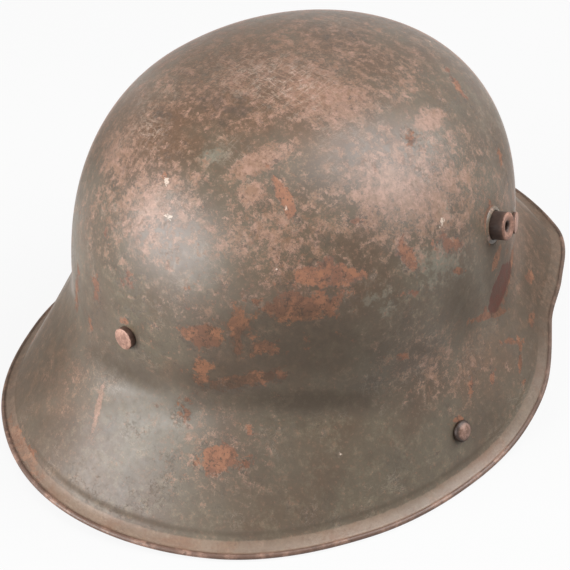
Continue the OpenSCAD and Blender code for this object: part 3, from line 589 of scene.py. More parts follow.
# Where looks fade in along the bowl's rows: the crown is 1 and the brow is 0, and the lip, the
# skirt and the groove are counted down from the brow
LIP_SHARE = (0.525, 0.56)
SKIRT_SHARE = (0.02, 0.2)
DOME_SHARE = (-0.04, 0.04)
# Painted shade in the groove on the skirt side of the lip: where it lies, how wide and how dark
GROOVE_SHARE, GROOVE_WIDTH, GROOVE_SHADE = 0.51, 0.018, 0.55
# How squarely a place faces the camera to be seen, from which share down it counts as hidden,
# and between which heights the crown's look begins
SEEN_FACING = (0.02, 0.16)
HIDDEN_BELOW = 0.3
HIGH_Z = (105, 165)
FAR_SIDE_SEED = 11


def marks(table, x, y):
    """How strongly the marks of a table show at pixels of the photograph, 0 to about 1."""
    total = np.zeros(x.shape)
    for cx, cy, hx, hy, turn, strength in table.values():
        c, s = math.cos(math.radians(turn)), math.sin(math.radians(turn))
        dx, dy = x - cx, y - cy
        d = np.hypot((dx * c - dy * s) / hx, (dx * s + dy * c) / hy)
        total = np.maximum(total, strength * np.clip(1 - d / MARK_SPREAD, 0, 1))
    return total


def smooth(value, low, high):
    k = np.clip((value - low) / (high - low), 0, 1)
    return k * k * (3 - 2 * k)


def far_marks(points, seen, count, size, strength, draw, low):
    """Marks scattered over the side that the photograph doesn't show."""
    total = np.zeros(len(points))
    hidden = np.flatnonzero((seen < HIDDEN_BELOW) & (points[:, 2] > low))
    for _ in range(count):
        centre = points[hidden[draw.randrange(len(hidden))]]
        wide, tall = draw.uniform(*size), draw.uniform(*size)
        d = np.linalg.norm((points - centre) / (wide, wide, tall), axis=1)
        power = draw.uniform(0.6, 1) * strength
        total = np.maximum(total, power * np.clip(1 - d / MARK_SPREAD, 0, 1))
    return total * (1 - seen)


def store(mesh, name, values):
    layer = mesh.attributes.new(name, "FLOAT", "POINT")
    layer.data.foreach_set("value", np.asarray(values, np.float32))


def normals_of(mesh):
    out = np.zeros(len(mesh.vertices) * 3)
    mesh.vertices.foreach_get("normal", out)
    return out.reshape(-1, 3)


def paint_fields(mesh, points, part, row_share):
    """Stores where the sheet is rusty, worn, stained, painted with shade and so on, for its material.
    """
    draw = random.Random(FAR_SIDE_SEED)
    x, y, _ = on_photo(points)
    facing = (normals_of(mesh) * unit(np.array(CAMERA_AT) / MM - points)).sum(axis=1)
    seen = smooth(facing, *SEEN_FACING) * (part < 2)
    dome = smooth(row_share, *DOME_SHARE)
    high = smooth(points[:, 2], *HIGH_Z)

    def near(table):
        return seen * marks(table, x, y)

    def far(count, size, strength, low=0):
        return far_marks(points, seen, count, size, strength, draw, low)

    far_wear = 0.28 * dome + 0.5 * high + 0.2 + far(14, (14, 34), 0.6, 40)
    # Painted shade in the groove on the skirt side of the lip
    groove = GROOVE_SHADE * np.exp(-((row_share + GROOVE_SHARE) / GROOVE_WIDTH) ** 2)
    fields = {
        "wear": mixed(far_wear, 0.16 + marks(WEAR, x, y), seen),
        "rust": near(RUST) + far(34, (4, 15), 1.0),
        "smudge": near(SMUDGE) + far(12, (5, 16), 0.7),
        "stain": near(STAIN),
        "blue": near(BLUE) + far(14, (12, 30), 0.8),
        "pale": near(PALE) + far(7, (1.2, 3), 1.0),
        "part": part,
        "painted_shade": np.maximum(near(PAINTED_SHADE), groove),
        "lip": smooth(-row_share, *LIP_SHARE),
        "skirt": smooth(-row_share, *SKIRT_SHARE),
        "brown": mixed(0.9 * high + far(12, (20, 45), 0.8), marks(BROWN, x, y), seen),
    }
    for name, values in fields.items():
        store(mesh, name, values)


# Colours of the outside
PAINT_GREY = srgb(80, 71, 57)
PAINT_BROWN = srgb(73, 57, 42)
PAINT_MOSS = srgb(101, 92, 75)
PAINT_BLUE = srgb(104, 102, 90)
PAINT_DARK = srgb(59, 48, 36)
CROWN_BROWN = srgb(86, 60, 39)
WORN_PINK = srgb(144, 111, 95)
WORN_BROWN = srgb(122, 92, 73)
RUST_ORANGE = srgb(131, 87, 63)
RUST_BROWN = srgb(103, 68, 51)
RUST_DARK = srgb(66, 46, 35)
PITS = srgb(54, 43, 33)
STAIN_RED = srgb(68, 31, 19)
PALE_MARK = srgb(205, 188, 172)
LIP_PALE = srgb(136, 114, 98)
LIP_RUST = srgb(128, 92, 72)
BEAD_BROWN = srgb(84, 60, 48)
BEAD_PINK = srgb(132, 102, 87)
INSIDE_GREY = srgb(96, 92, 79)
INSIDE_BROWN = srgb(84, 74, 59)
PAINT_ROUGH = 0.38
PAINT_SPECULAR = 0.5
PAINTED_SHADE_DULL = 0.45
SKIRT_DULL = 0.1
# Fine scratches: how finely each set repeats along x, y and z, and how it is turned
SCRATCH_WAYS = (
    ((40, 300, 110), (20, 35, 10)),
    ((280, 36, 90), (-30, 10, 40)),
    ((120, 60, 420), (50, -20, 0)),
)


def painted_steel():
    p = Paint("worn_paint")
    small = p.noise(4.2, 10, 0.72)
    fine = p.noise(1.1, 6, 0.7)
    tiny = p.noise(2.0, 8, 0.78)
    clouds = p.noise(22, 8, 0.66)

    def mark(name, size, amount, low, high, share=1.0, detail=12, rough=0.72):
        """Where a stored field shows once its edges are broken up."""
        broken = p.plus(p.field(name), p.spread(p.noise(size, detail, rough), amount))
        return p.step(broken, low, high, share)

    # Paint: two tones, lighter mottles, darker soiling, browner where most of it is gone
    colour = p.layered(
        p.blend(p.patches(60, 4, 0.55, 0.38, 0.62), PAINT_BROWN, PAINT_GREY),
        (p.patches(6, 12, 0.74, 0.47, 0.62, 0.55), PAINT_MOSS),
        (p.patches(16, 10, 0.68, 0.5, 0.68, 0.6), PAINT_DARK),
        (mark("blue", 6, 3.4, 0.4, 0.8, 0.65), PAINT_BLUE),
        (mark("brown", 12, 2.0, 0.1, 1.0, 0.85), CROWN_BROWN),
        (p.step(tiny, 0.52, 0.64, 0.4), WORN_BROWN))
    # Worn places, large and small, in two tones with dark remains, and the crown's fine grain
    worn = p.most(mark("wear", 6, 4.6, 0.5, 0.8, 0.85, 14, 0.84),
                  mark("wear", 2.0, 4.8, 0.66, 0.98, 0.8, 8, 0.8))
    worn_colour = p.blend(p.step(small, 0.42, 0.58), WORN_BROWN, WORN_PINK)
    grained = p.step(p.field("brown"), 0.5, 1.1, 0.4)
    colour = p.layered(
        colour,
        (worn, p.blend(p.step(tiny, 0.49, 0.63, 0.7), worn_colour, CROWN_BROWN)),
        (p.times(grained, p.step(fine, 0.5, 0.6)), RUST_DARK),
        (p.times(grained, p.step(fine, 0.48, 0.38)), WORN_PINK))
    # Rust with dark pits and cracks in and round it
    rust = mark("rust", 8, 2.9, 0.4, 0.58, 0.9, 14, 0.78)
    rust_colour = p.blend(p.patches(14, 8, 0.66, 0.42, 0.58), RUST_ORANGE, RUST_BROWN)
    near_rust = mark("rust", 12, 2.4, 0.1, 0.4, 1.0, 6)
    pits = p.most(near_rust, p.step(clouds, 0.5, 0.6, 0.6))
    pits = p.times(p.patches(2.4, 6, 0.66, 0.55, 0.62, 0.75), pits)
    cracks = p.most(p.step(clouds, 0.48, 0.6, 0.5), p.times(near_rust, 0.7))
    cracks = p.times(p.lines(p.noise(7, 8, 0.66), 0.012, 0.003), cracks)
    dark = p.most(cracks, pits)
    colour = p.layered(
        colour,
        (rust, p.blend(p.step(small, 0.54, 0.68, 0.5), rust_colour, RUST_DARK)),
        (mark("smudge", 5, 3, 0.4, 0.9, 0.7), PITS),
        (dark, PITS))
    # Fine light scratches, specks and spots
    sets = [p.lines(p.noise(1, 4, 0.55, at=p.stretched(*way)), 0.016, 0.002) for way in SCRATCH_WAYS]
    crown_lines = p.times(p.step(p.field("brown"), 0.6, 1.1, 0.4), p.step(p.field("skirt"), 0, 1, 0, 1))
    scratches = p.plus(p.patches(25, 4, 0.6, 0.54, 0.64, 0.1), crown_lines)
    scratches = p.times(p.most(p.most(sets[0], sets[1]), sets[2]), scratches)
    specks = p.times(p.step(p.cells(11), 0.06, 0.04), p.patches(6, 2, 0.6, 0.64, 0.68, 0.6))
    pale = mark("pale", 2.5, 2.4, 0.5, 0.62, 0.6, 6)
    # Lip and bead, painted shade that rust shows through, and the dark red stain
    lip = p.times(mark("lip", 5, 0.9, 0.35, 0.75, 0.9), p.patches(40, 6, 0.6, 0.36, 0.6, 0.6, 0.4))
    lip_colour = p.blend(p.patches(18, 8, 0.7, 0.46, 0.62, 0.8), LIP_PALE, LIP_RUST)
    bead_colour = p.blend(p.patches(9, 8, 0.7, 0.46, 0.66), BEAD_BROWN, BEAD_PINK)
    painted_shade = p.times(p.step(p.field("painted_shade"), 0.0, 1.0, 0.92), p.step(rust, 0, 1, 0.45, 1))
    stain = mark("stain", 7, 0.7, 0.4, 0.52, 0.95, 8, 0.6)
    colour = p.layered(
        colour,
        (scratches, PALE_MARK),
        (p.most(specks, pale), PALE_MARK),
        (lip, p.blend(p.step(tiny, 0.5, 0.66, 0.6), lip_colour, BEAD_BROWN)),
        (p.step(p.field("part"), 0.35, 0.65),
         p.blend(p.patches(3.5, 8, 0.7, 0.52, 0.64, 0.8), bead_colour, RUST_DARK)),
        # Painted shade: darker paint over the shaded places
        (p.times(painted_shade, p.patches(7, 12, 0.76, 0.4, 0.56, 1.0, 0.62)), PAINT_DARK),
        (stain, p.blend(p.step(small, 0.4, 0.6, 0.5), STAIN_RED, PITS)))
    # Inside, and soiling over everything
    inner = p.blend(p.patches(16, 10, 0.68, 0.4, 0.64), INSIDE_GREY, INSIDE_BROWN)
    colour = p.layered(
        colour,
        (p.step(p.field("part"), 1.35, 1.65),
         p.blend(p.patches(11, 12, 0.74, 0.6, 0.66), inner, RUST_BROWN)),
        (p.step(fine, 0.35, 0.68, 0.22), PITS))
    bare = p.most(p.most(rust, p.times(worn, 0.35)), p.times(stain, 0.9))
    rough = p.plus(p.step(bare, 0, 1, 0.62, PAINT_ROUGH), p.spread(small, 0.35))
    rough = p.plus(rough, p.step(p.field("painted_shade"), 0, 1, PAINTED_SHADE_DULL))
    rough = p.plus(rough, p.step(p.field("skirt"), 0, 1, SKIRT_DULL))
    height = p.minus(p.minus(p.times(fine, 0.35), p.times(bare, 0.5)), p.times(dark, 0.5))
    return p.finish(colour, rough, height, 0.1, Specular_IOR_Level=PAINT_SPECULAR)


vertices, faces, part, row = bowl_mesh()
bowl = link("bowl", vertices, faces)
paint_fields(bowl.data, vertices, part, 1 - row / (DOME_ROWS + BLEND_ROWS / 2))
bowl.data.materials.append(painted_steel())
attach(bowl, "helmet")
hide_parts("shell")

# Turned steel pieces: lugs and rivets, each a profile (radius, height) about its own axis
TURN_STEPS = 96
SIDES = {"left": 1, "right": -1}
AXIS_R = 0.01
# The most of a side that a rounded corner takes
CORNER_ROOM = 0.45


def lathe(name, profile, at, out, x_sign=1, wobble=0.0, seed=1):
    """A profile turned about the axis `out` through `at`, mirrored where x_sign is -1."""
    z_axis = Vector(out).normalized()
    x_axis = z_axis.orthogonal().normalized()
    axes = np.array([x_axis, z_axis.cross(x_axis), z_axis])
    waves = np.random.default_rng(seed).uniform(0, 2 * math.pi, 4)
    profile = np.asarray(profile, float)
    turn = np.arange(TURN_STEPS) * 2 * math.pi / TURN_STEPS
    uneven = 1 + wobble * sum(np.sin((k + 2) * turn + w) / (k + 2) for k, w in enumerate(waves))
    r = profile[:, :1] * uneven[None, :]
    height = np.repeat(profile[:, 1:], TURN_STEPS, axis=1)
    points = np.stack([r * np.cos(turn), r * np.sin(turn), height], axis=-1) @ axes + np.asarray(at)
    points[..., 0] *= x_sign
    closed = abs(profile[0] - profile[-1]).sum() > 1e-6
    faces = grid_faces(len(profile), TURN_STEPS, wrap_rows=closed, wrap_cols=True)
    return link(name, points.reshape(-1, 3), [f[::-1] for f in faces] if x_sign > 0 else faces)


def rounded(profile, radius, steps):
    """The profile with every corner rounded, where the sides leave room."""
    points = np.array(profile, float)
    out = [points[0]]
    for before, at, after in zip(points, points[1:], points[2:]):
        a, b = before - at, after - at
        la, lb = np.linalg.norm(a), np.linalg.norm(b)
        r = min(radius, la * CORNER_ROOM, lb * CORNER_ROOM)
        out += [bent(at + a / la * r, at, at + b / lb * r, k / steps) for k in range(steps + 1)]
    return out + [points[-1]]


def seat(surface, q, z):
    """A point of a surface(q, z) of the bowl, and its outward direction there."""
    q = np.array([q])
    return surface(q, z)[0], surface_out(surface, q, z)[0]


def dress(obj, material, slot, *nodes, body="helmet"):
    """Gives a new piece its material and its body, and hides the CAD nodes that it stands for."""
    obj.data.materials.append(material)
    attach(obj, body)
    if nodes:
        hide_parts(*nodes)
    return obj


def outward(obj):
    """Turns the faces of a closed mesh outwards, and drops vertices without a face."""
    build = bmesh.new()
    build.from_mesh(obj.data)
    bmesh.ops.delete(build, geom=[v for v in build.verts if not v.link_faces], context="VERTS")
    bmesh.ops.recalc_face_normals(build, faces=build.faces)
    build.to_mesh(obj.data)
    build.free()
    return obj


def finished(obj, kind, **settings):
    """Applies a modifier and leaves a plain mesh."""
    set_all(obj.modifiers.new(kind.lower(), kind), **settings)
    graph = bpy.context.evaluated_depsgraph_get()
    mesh = bpy.data.meshes.new_from_object(obj.evaluated_get(graph))
    obj.modifiers.clear()
    old, obj.data = obj.data, mesh
    bpy.data.meshes.remove(old)
    return obj


def joined(name, objects):
    """One mesh object from several."""
    mesh = bpy.data.meshes.new(name)
    build = bmesh.new()
    for o in objects:
        build.from_mesh(o.data)
        bpy.data.objects.remove(o)
    build.to_mesh(mesh)
    build.free()
    mesh.shade_smooth()
    return new_object(name, mesh)


def rusty_steel(name, base, light, dark, rough, grain, shaded_sides):
    """Bare steel gone brown, with lighter worn places, dark rust in the hollows and, on turned pieces,
    dark rust and painted shade on the sides.
    """
    p = Paint(name)
    base, light, dark = srgb(*base), srgb(*light), srgb(*dark)
    fine = p.noise(0.7, 6, 0.7)
    colour = p.layered(
        base,
        (p.patches(grain, 10, 0.7, 0.42, 0.6), light),
        (p.patches(grain * 0.6, 10, 0.75, 0.54, 0.68, 0.8), dark),
        (p.step(fine, 0.4, 0.7, 0.3), dark))
    # Dark rust and painted shade on a turned piece's sides, away from its worn face
    if shaded_sides:
        colour = p.blend(p.step(p.field("face"), 0.0, 1.0, 0.0, shaded_sides), colour, dark)
    rough = p.patches(grain, 6, 0.6, 0.3, 0.7, rough + 0.12, rough - 0.12)
    return p.finish(colour, rough, fine, 0.12, Metallic=0.25)


# Steels: base, light and dark colour, roughness, size of the mottles in millimetres, and the
# share of the dark, part rust and part painted shade, that lies on a turned piece away from its worn
# face
STEELS = {
    "lug_steel": ((108, 76, 62), (148, 111, 95), (32, 21, 16), 0.62, 3, 0.88),
    "rivet_steel": ((130, 97, 83), (160, 124, 108), (40, 27, 21), 0.5, 3, 0.8),
    "chin_rivet_steel": ((104, 77, 64), (140, 110, 97), (32, 22, 17), 0.42, 3, 0.9),
    "small_steel": ((118, 112, 104), (150, 144, 136), (74, 62, 54), 0.45, 3, 0),
    "strap_steel": ((96, 94, 86), (128, 124, 114), (62, 54, 46), 0.45, 3, 0),
    "band_steel": ((104, 98, 88), (132, 124, 112), (86, 60, 46), 0.5, 8, 0),
}
STEEL = {name: rusty_steel(name, *look) for name, look in STEELS.items()}


def with_face(piece, at, out, x_sign, start, end):
    """Stores how near each vertex is to the outer face, from the height start to end."""
    points = np.array([v.co[:] for v in piece.data.vertices]) / MM * (x_sign, 1, 1)
    store(piece.data, "face", smooth((points - np.asarray(at)) @ np.asarray(out), start, end))
    return piece


# Vent lugs, as in the source, with worn corners
LUG_Q, LUG_Z = 64, 107
LUG_R, LUG_OUT, VENT_R, NECK_R = 6.6, 7.4, 2.1, 4.9
LUG_IN, FLANGE_T, DISH_R, DISH_DEEP, LUG_EDGE = 1.93, 1.4, 4.8, 1.0, 0.6
SEAT_GAP = 0.12
LUG_BACK = -LUG_IN - FLANGE_T
DISH_EDGE = 0.5
LUG_PROFILE = [
    (VENT_R, LUG_BACK), (LUG_R, LUG_BACK), (LUG_R, -LUG_IN), (NECK_R, -LUG_IN), (NECK_R, 0), (LUG_R, 0),
    (LUG_R, LUG_OUT / 2), (LUG_R, LUG_OUT - LUG_EDGE), (LUG_R - LUG_EDGE, LUG_OUT), (DISH_R, LUG_OUT),
    (VENT_R + DISH_EDGE, LUG_OUT - DISH_DEEP), (VENT_R, LUG_OUT - DISH_DEEP - DISH_EDGE),
    (VENT_R, LUG_OUT / 2), (VENT_R, LUG_BACK)]
LUG_FACE = (LUG_OUT - 1.2, LUG_OUT - 0.3)
# A welt in the paint round the lug's foot
WELT_PROFILE = [(LUG_R + 0.05, -1.2), (LUG_R + 0.05, 0.35), (LUG_R + 0.5, 0.6), (LUG_R + 1.2, 0.3),
                (LUG_R + 2.2, -0.25), (LUG_R + 2.4, -1.2)]
WELT_WEAR = 0.35
# Turned pieces: radius of their rounded edges, steps round an edge, unevenness and its seed
TURNED = {
    "lug": (0.35, 4, 0.006, 3),
    "welt": (0.3, 4, 0.01, 5),
    "liner": (0.25, 3, 0.012, 7),
    "chin": (0.2, 3, 0.01, 9),
}


def turned_piece(kind, name, profile, at, out, x_sign):
    edge, steps, wobble, seed = TURNED[kind]
    return lathe(name, rounded(profile, edge, steps), at, out, x_sign, wobble, seed)


for side, sign in SIDES.items():
    at, out = seat(dome_at, LUG_Q, LUG_Z)
    lug = turned_piece("lug", side + "_lug", LUG_PROFILE, at + SEAT_GAP * out, out, sign)
    with_face(lug, at, out, sign, *LUG_FACE)
    dress(lug, STEEL["lug_steel"], "rusty_steel", side + "_vent_lug")
    welt = turned_piece("welt", side + "_lug_welt", WELT_PROFILE, at, out, sign)
    store(welt.data, "wear", np.full(len(welt.data.vertices), WELT_WEAR))
    dress(welt, bowl.data.materials[0], "painted_steel")

# Split rivets that hold the liner: a flat thick head and two legs spread inside
HEAD_R, HEAD_RISE, SHANK_R, HEAD_EDGE_IN, HEAD_EDGE_UP = 5.2, 0.8, 2.1, 0.15, 0.2
LEG_L, LEG_T, LEG_W, LEG_IN = 10, 0.9, 3.4, 4.94
LEG_TAPER, LEG_CURL, CURL_FROM = 0.35, 0.45, 0.6
LEG_COLS = 10
LEG_BASE = -LEG_IN - LEG_T
# Where each sits (angle, height and side) and how high its head is
LINER_RIVETS = {"rear": (180, 78.5, 1, 3.6), "left": (49, 90, 1, 2.2), "right": (49, 90, -1, 2.2)}
RIVET_FACE = (-1.2, -0.5)
SOFT_EDGE = {"width": 0.25 * MM, "segments": 2, "limit_method": "ANGLE"}


def domed(radius, low, rise, step):
    """Profile of a dome that stands on the height low."""
    turns = [math.radians(a) for a in range(0, 90, step)]
    return [(radius * math.cos(a), low + rise * math.sin(a)) for a in turns]


def split_rivet_profile(head_h):
    return [(AXIS_R, LEG_BASE), (SHANK_R, LEG_BASE), (SHANK_R, 0), (HEAD_R - HEAD_EDGE_IN, 0),
            (HEAD_R, HEAD_EDGE_UP), *domed(HEAD_R, head_h - HEAD_RISE, HEAD_RISE, 10), (AXIS_R, head_h)]


def rivet_leg(at, out, x_sign, way):
    """One flat leg from the shank outwards, tapering and curling a little at its end."""
    z_axis = Vector(out).normalized()
    across = z_axis.cross(Vector((0, 0, 1))).normalized()
    along_leg = z_axis.cross(across) * way
    points = []
    for i in range(LEG_COLS + 1):
        k = i / LEG_COLS
        half = LEG_W / 2 * (1 - LEG_TAPER * k ** 3)
        low = LEG_BASE - LEG_CURL * (max(k - CURL_FROM, 0) / (1 - CURL_FROM)) ** 2
        for x, z in ((-half, low), (half, low), (half, low + LEG_T), (-half, low + LEG_T)):
            v = Vector(at) + across * x + along_leg * (LEG_L * k) + z_axis * z
            points.append((v.x * x_sign, v.y, v.z))
    faces = grid_faces(LEG_COLS + 1, 4, wrap_cols=True)
    faces += [(0, 1, 2, 3), tuple(4 * LEG_COLS + j for j in (3, 2, 1, 0))]
    return finished(outward(link("leg", points, faces)), "BEVEL", **SOFT_EDGE)


for name, (q, z, sign, head_h) in LINER_RIVETS.items():
    at, out = seat(dome_at, q, z)
    at = at + SEAT_GAP * out
    head = turned_piece("liner", "head", split_rivet_profile(head_h), at, out, sign)
    rivet = joined(name + "_split_rivet", [head, *(rivet_leg(at, out, sign, way) for way in (-1, 1))])
    with_face(rivet, at, out, sign, *(head_h + h for h in RIVET_FACE))
    dress(rivet, STEEL["rivet_steel"], "rusty_steel", name + "_liner_rivet")

# Chin strap rivets: a domed head, a shank and a flattened tail over the lug's plate
CHIN_Q, CHIN_Z = 90.5, 24
DOME_R, DOME_H, DOME_RIM, DOME_EDGE, CHIN_SHANK_R = 5.2, 3.4, 0.6, 0.1, 2.2
CHIN_FACE = (DOME_H * 0.6, DOME_H)
HEAD_SEAT, PLATE_IN, PLATE_T, TAIL_R, TAIL_T = 0.303, 1.681, 1.6, 3.7, 1
TAIL_AT = -HEAD_SEAT - PLATE_IN - PLATE_T - SEAT_GAP - TAIL_T
CHIN_PROFILE = [
    (AXIS_R, TAIL_AT), (TAIL_R, TAIL_AT), (TAIL_R, TAIL_AT + TAIL_T), (CHIN_SHANK_R, TAIL_AT + TAIL_T),
    (CHIN_SHANK_R, 0), (DOME_R - DOME_EDGE, 0), (DOME_R, DOME_EDGE),
    *domed(DOME_R, DOME_RIM, DOME_H - DOME_RIM, 8), (AXIS_R, DOME_H)]
for side, sign in SIDES.items():
    at, out = seat(skirt_at, CHIN_Q, CHIN_Z)
    rivet = turned_piece("chin", side + "_domed_rivet", CHIN_PROFILE, at + HEAD_SEAT * out, out, sign)
    with_face(rivet, at, out, sign, *CHIN_FACE)
    dress(rivet, STEEL["chin_rivet_steel"], "rusty_steel", side + "_chin_rivet")

# Small steel parts keep their CAD shapes, with broken edges
EDGE_ROUND, BUCKLE_ROUND, EDGE_ANGLE = 0.15, 0.45, 40
SMALL_STEEL = ("rear_washer", "left_washer", "right_washer", "left_strap_lug", "right_strap_lug",
               "band_rivets", "front_pad_rivets", "left_pad_rivets", "right_pad_rivets",
               "strap_rivets", "gate_pins")
STRAP_STEEL = ("left_clip", "right_clip", "left_gate", "right_gate", "buckle")
for name in SMALL_STEEL + STRAP_STEEL:
    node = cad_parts[name]
    node.data.materials.clear()
    node.data.materials.append(STEEL["small_steel" if name in SMALL_STEEL else "strap_steel"])
    width = (BUCKLE_ROUND if name == "buckle" else EDGE_ROUND) * MM
    set_all(node.modifiers.new("edges", "BEVEL"), width=width, segments=2, limit_method="ANGLE",
            angle_limit=math.radians(EDGE_ANGLE))

# Liner band: a strip bent to the wall, its ends lapped
BAND_Z, BAND_H, BAND_T, BAND_GAP = 70, 28, 0.8, 1.4
LAP_Q, LAP_HALF, LAP_STEP = 60, 4, 0.2
BAND_LINES = 6


def band_in(q, z):
    return dome_r(q, z) - SHEET_T - BAND_GAP - BAND_T


def liner_band():
    """A ring that is twice as thick where the strip's ends lie over each other."""
    lap_from, lap_to = LAP_Q - LAP_HALF, LAP_Q + LAP_HALF
    turns = np.concatenate([np.arange(lap_from, lap_to + 1), [lap_to + LAP_STEP],
                            np.arange(lap_to + 2, lap_from + 359), [lap_from + 360 - LAP_STEP]])
    thick = np.where(turns <= lap_to, 2 * BAND_T, BAND_T)
    up = np.linspace(0, BAND_H, BAND_LINES) + BAND_Z
    outer = [pair(band_in(turns, z) + BAND_T, z) for z in up[::-1]]
    inner = [pair(band_in(turns, z) + BAND_T - thick, z) for z in up]
    rows = placed(turns[None, :], np.stack(outer + inner))
    faces = grid_faces(len(rows), len(turns), wrap_rows=True, wrap_cols=True)
    return finished(link("liner_strip", rows.reshape(-1, 3), faces), "BEVEL", **SOFT_EDGE)


dress(liner_band(), STEEL["band_steel"], "band_steel", "liner_band")

# Pads: a strip on the band, a part that stands in over its cushion, and two tongues
PAD_SPAN, PAD_REAR_Q, LEATHER_T = 108, 119, 2
STRIP_H, BULGE, BULGE_H, PAD_GAP = 8, 15, 14, 0.3
CROWN_GAP, TONGUE_TOP, TONGUE_ROOT, TONGUE_HALF, TIP_R, LACE_R = 22, 64, 36, 22, 8.5, 2.5
STRIP_TOP = BAND_Z + STRIP_H
BULGE_TOP = STRIP_TOP + BULGE_H
PAD_BASE = BULGE_TOP + 2
PAD_EDGE = 0.5
PADS = {"front": 0, "left": PAD_REAR_Q, "right": -PAD_REAR_Q}


def pad_low(q, z):
    stand = PAD_GAP + (BULGE - PAD_GAP) * smooth(z, STRIP_TOP, BULGE_TOP)
    return pair(band_in(q, z) - stand, z)


def pad_high(q, a):
    n, top = roundness(q), CROWN_H - CROWN_GAP
    r = band_in(q, PAD_BASE) - BULGE
    a = np.radians(a)
    return pair(r * np.cos(a) ** (2 / n), PAD_BASE + (top - PAD_BASE) * np.sin(a) ** (2 / n))


PAD_LOW_ROWS, PAD_HIGH_ROWS, STRAIGHT_ROWS, TIP_ROWS, HALF_COLS = 18, 16, 14, 9, 30
TONGUE_ENDS = [pad_high(np.array([90]), a)[0] for a in (TONGUE_ROOT, TONGUE_TOP)]
TIP_SHARE = TIP_R / math.dist(*TONGUE_ENDS)
TIP_TURN = 84
# Waves in the leather: how high, and how often each runs round and up
PAD_WAVE, WAVE_STEP = 0.7, 0.2
PAD_WAVES = ((9, 5), (-3, 11))
PAD_SOFT = {**SOFT_EDGE, "width": 0.45 * MM, "segments": 3, "angle_limit": math.radians(50)}


def tongue_at(k):
    return mixed(TONGUE_ROOT, TONGUE_TOP, k)


def pad_rows():
    """Each row of a pad as (its height or angle, whether low, half width of a tongue or None)."""
    rows = [(z, True, None) for z in np.linspace(BAND_Z + PAD_EDGE, STRIP_TOP, 5)[:-1]]
    rows += [(z, True, None) for z in np.linspace(STRIP_TOP, BULGE_TOP, PAD_LOW_ROWS)]
    rows += [(a, False, None) for a in np.linspace(0, TONGUE_ROOT, PAD_HIGH_ROWS)]
    for i in range(1, STRAIGHT_ROWS + 1):
        k = i / STRAIGHT_ROWS
        rows.append((tongue_at((1 - TIP_SHARE) * k), False, mixed(TONGUE_HALF, TIP_R, k)))
    for i in range(1, TIP_ROWS + 1):
        a = math.radians(TIP_TURN * i / TIP_ROWS)
        rows.append((tongue_at(1 - TIP_SHARE * (1 - math.sin(a))), False, TIP_R * math.cos(a)))
    return rows


def pad_mesh(name, q0):
    """Two halves that share their middle column up to where the tongues part."""
    rows, sheets, index, count = pad_rows(), ([], []), {}, 0
    share = np.linspace(-1, 1, HALF_COLS)
    middles = [np.array([q0 + PAD_SPAN * (side / 2 - 0.25)]) for side in (0, 1)]
    for i, (level, low, half) in enumerate(rows):
        line_at = pad_low if low else pad_high
        for side, middle in enumerate(middles):
            reach = PAD_SPAN / 4
            if half is not None:
                reach = math.degrees(math.asin(half / pad_high(middle, level)[0, 0]))
            q = middle + share * reach
            line = line_at(q, level)
            inward = turned(unit(line_at(q, level + WAVE_STEP) - line), 90)
            wave = math.prod(np.sin(np.radians(q * a + level * b)) for a, b in PAD_WAVES)
            wave = wave * PAD_WAVE * (smooth(level, STRIP_TOP, BULGE_TOP) if low else 1)
            for sheet, depth in zip(sheets, (0, LEATHER_T)):
                sheet.append(placed(q, line + inward * (depth + wave[:, None])))
            for c in range(HALF_COLS):
                shared = half is None and side == 1 and c == 0
                index[i, side, c] = index[i, 0, HALF_COLS - 1] if shared else count
                count += 1
    corners = ((0, 0), (1, 0), (1, 1), (0, 1))
    faces = [[index[i + di, side, c + dc] for di, dc in corners]
             for i in range(len(rows) - 1) for side in (0, 1) for c in range(HALF_COLS - 1)]
    edges = dict.fromkeys(edge for f in faces for edge in zip(f, f[1:] + f[:1]))
    faces += [[count + v for v in reversed(f)] for f in faces]
    faces += [[b, a, count + a, count + b] for a, b in edges if (b, a) not in edges]
    pad = outward(link(name, np.concatenate([np.concatenate(sheet) for sheet in sheets]), faces))
    for middle in middles:
        at = placed(middle, pad_high(middle, tongue_at(1 - TIP_SHARE)))[0]
        punch = [(r, h * BULGE / 2) for r, h in ((AXIS_R, -1), (LACE_R, -1), (LACE_R, 1), (AXIS_R, 1))]
        tool = lathe("hole", punch, at, (0, 0, 1))
        finished(pad, "BOOLEAN", object=tool, operation="DIFFERENCE", solver="EXACT")
        bpy.data.objects.remove(tool)
    finished(pad, "BEVEL", **PAD_SOFT).data.shade_smooth()
    return pad


def leather(name, base, light, dark, grain=1.3, rough=0.5):
    """Old leather: fine pebbled grain, creases, darker greasy places and paler rubbed ones."""
    p = Paint(name)
    grains = p.cells(grain, "DISTANCE_TO_EDGE")
    creases = p.lines(p.noise(12, 6, 0.6), 0.0, 0.012)
    colour = p.layered(
        srgb(*base),
        (p.patches(30, 6, 0.6, 0.38, 0.62), srgb(*light)),
        (p.patches(9, 8, 0.7, 0.5, 0.7, 0.75), srgb(*dark)),
        (p.step(creases, 0.9, 0.1, 0.6), srgb(*dark)),
        (p.step(grains, 0.1, 0.0, 0.45), srgb(*dark)))
    height = p.plus(p.step(grains, 0, 0.25, 0.6), p.times(creases, 0.8))
    return p.finish(colour, p.patches(18, 5, 0.6, 0.3, 0.7, rough + 0.15, rough - 0.1), height, 0.14)


pad_leather = leather("pad_leather", (112, 76, 50), (138, 98, 66), (64, 42, 28))
for name, q0 in PADS.items():
    dress(pad_mesh(name + "_leather_pad", q0), pad_leather, "pad_leather", name + "_pad")

# Cushions: small stuffed bags of linen between the band and the pads
CUSHION_H, CUSHION_Z, CUSHION_BACK, CUSHION_SPAN = 36, 88, 4, 0.46
CUSHION_ENDS, CUSHION_ROOM, CUSHION_COLS, CUSHION_TURNS = 0.62, 1.3, 150, 64
CUSHION_SQUARE, CUSHION_ROUND, CUSHION_THIN = 0.72, 0.999, 0.06
PUCKER, PUCKER_STEP, PUCKER_W, SEAM_W, FOLD = 0.5, 2.4, 0.5, 0.16, 0.5


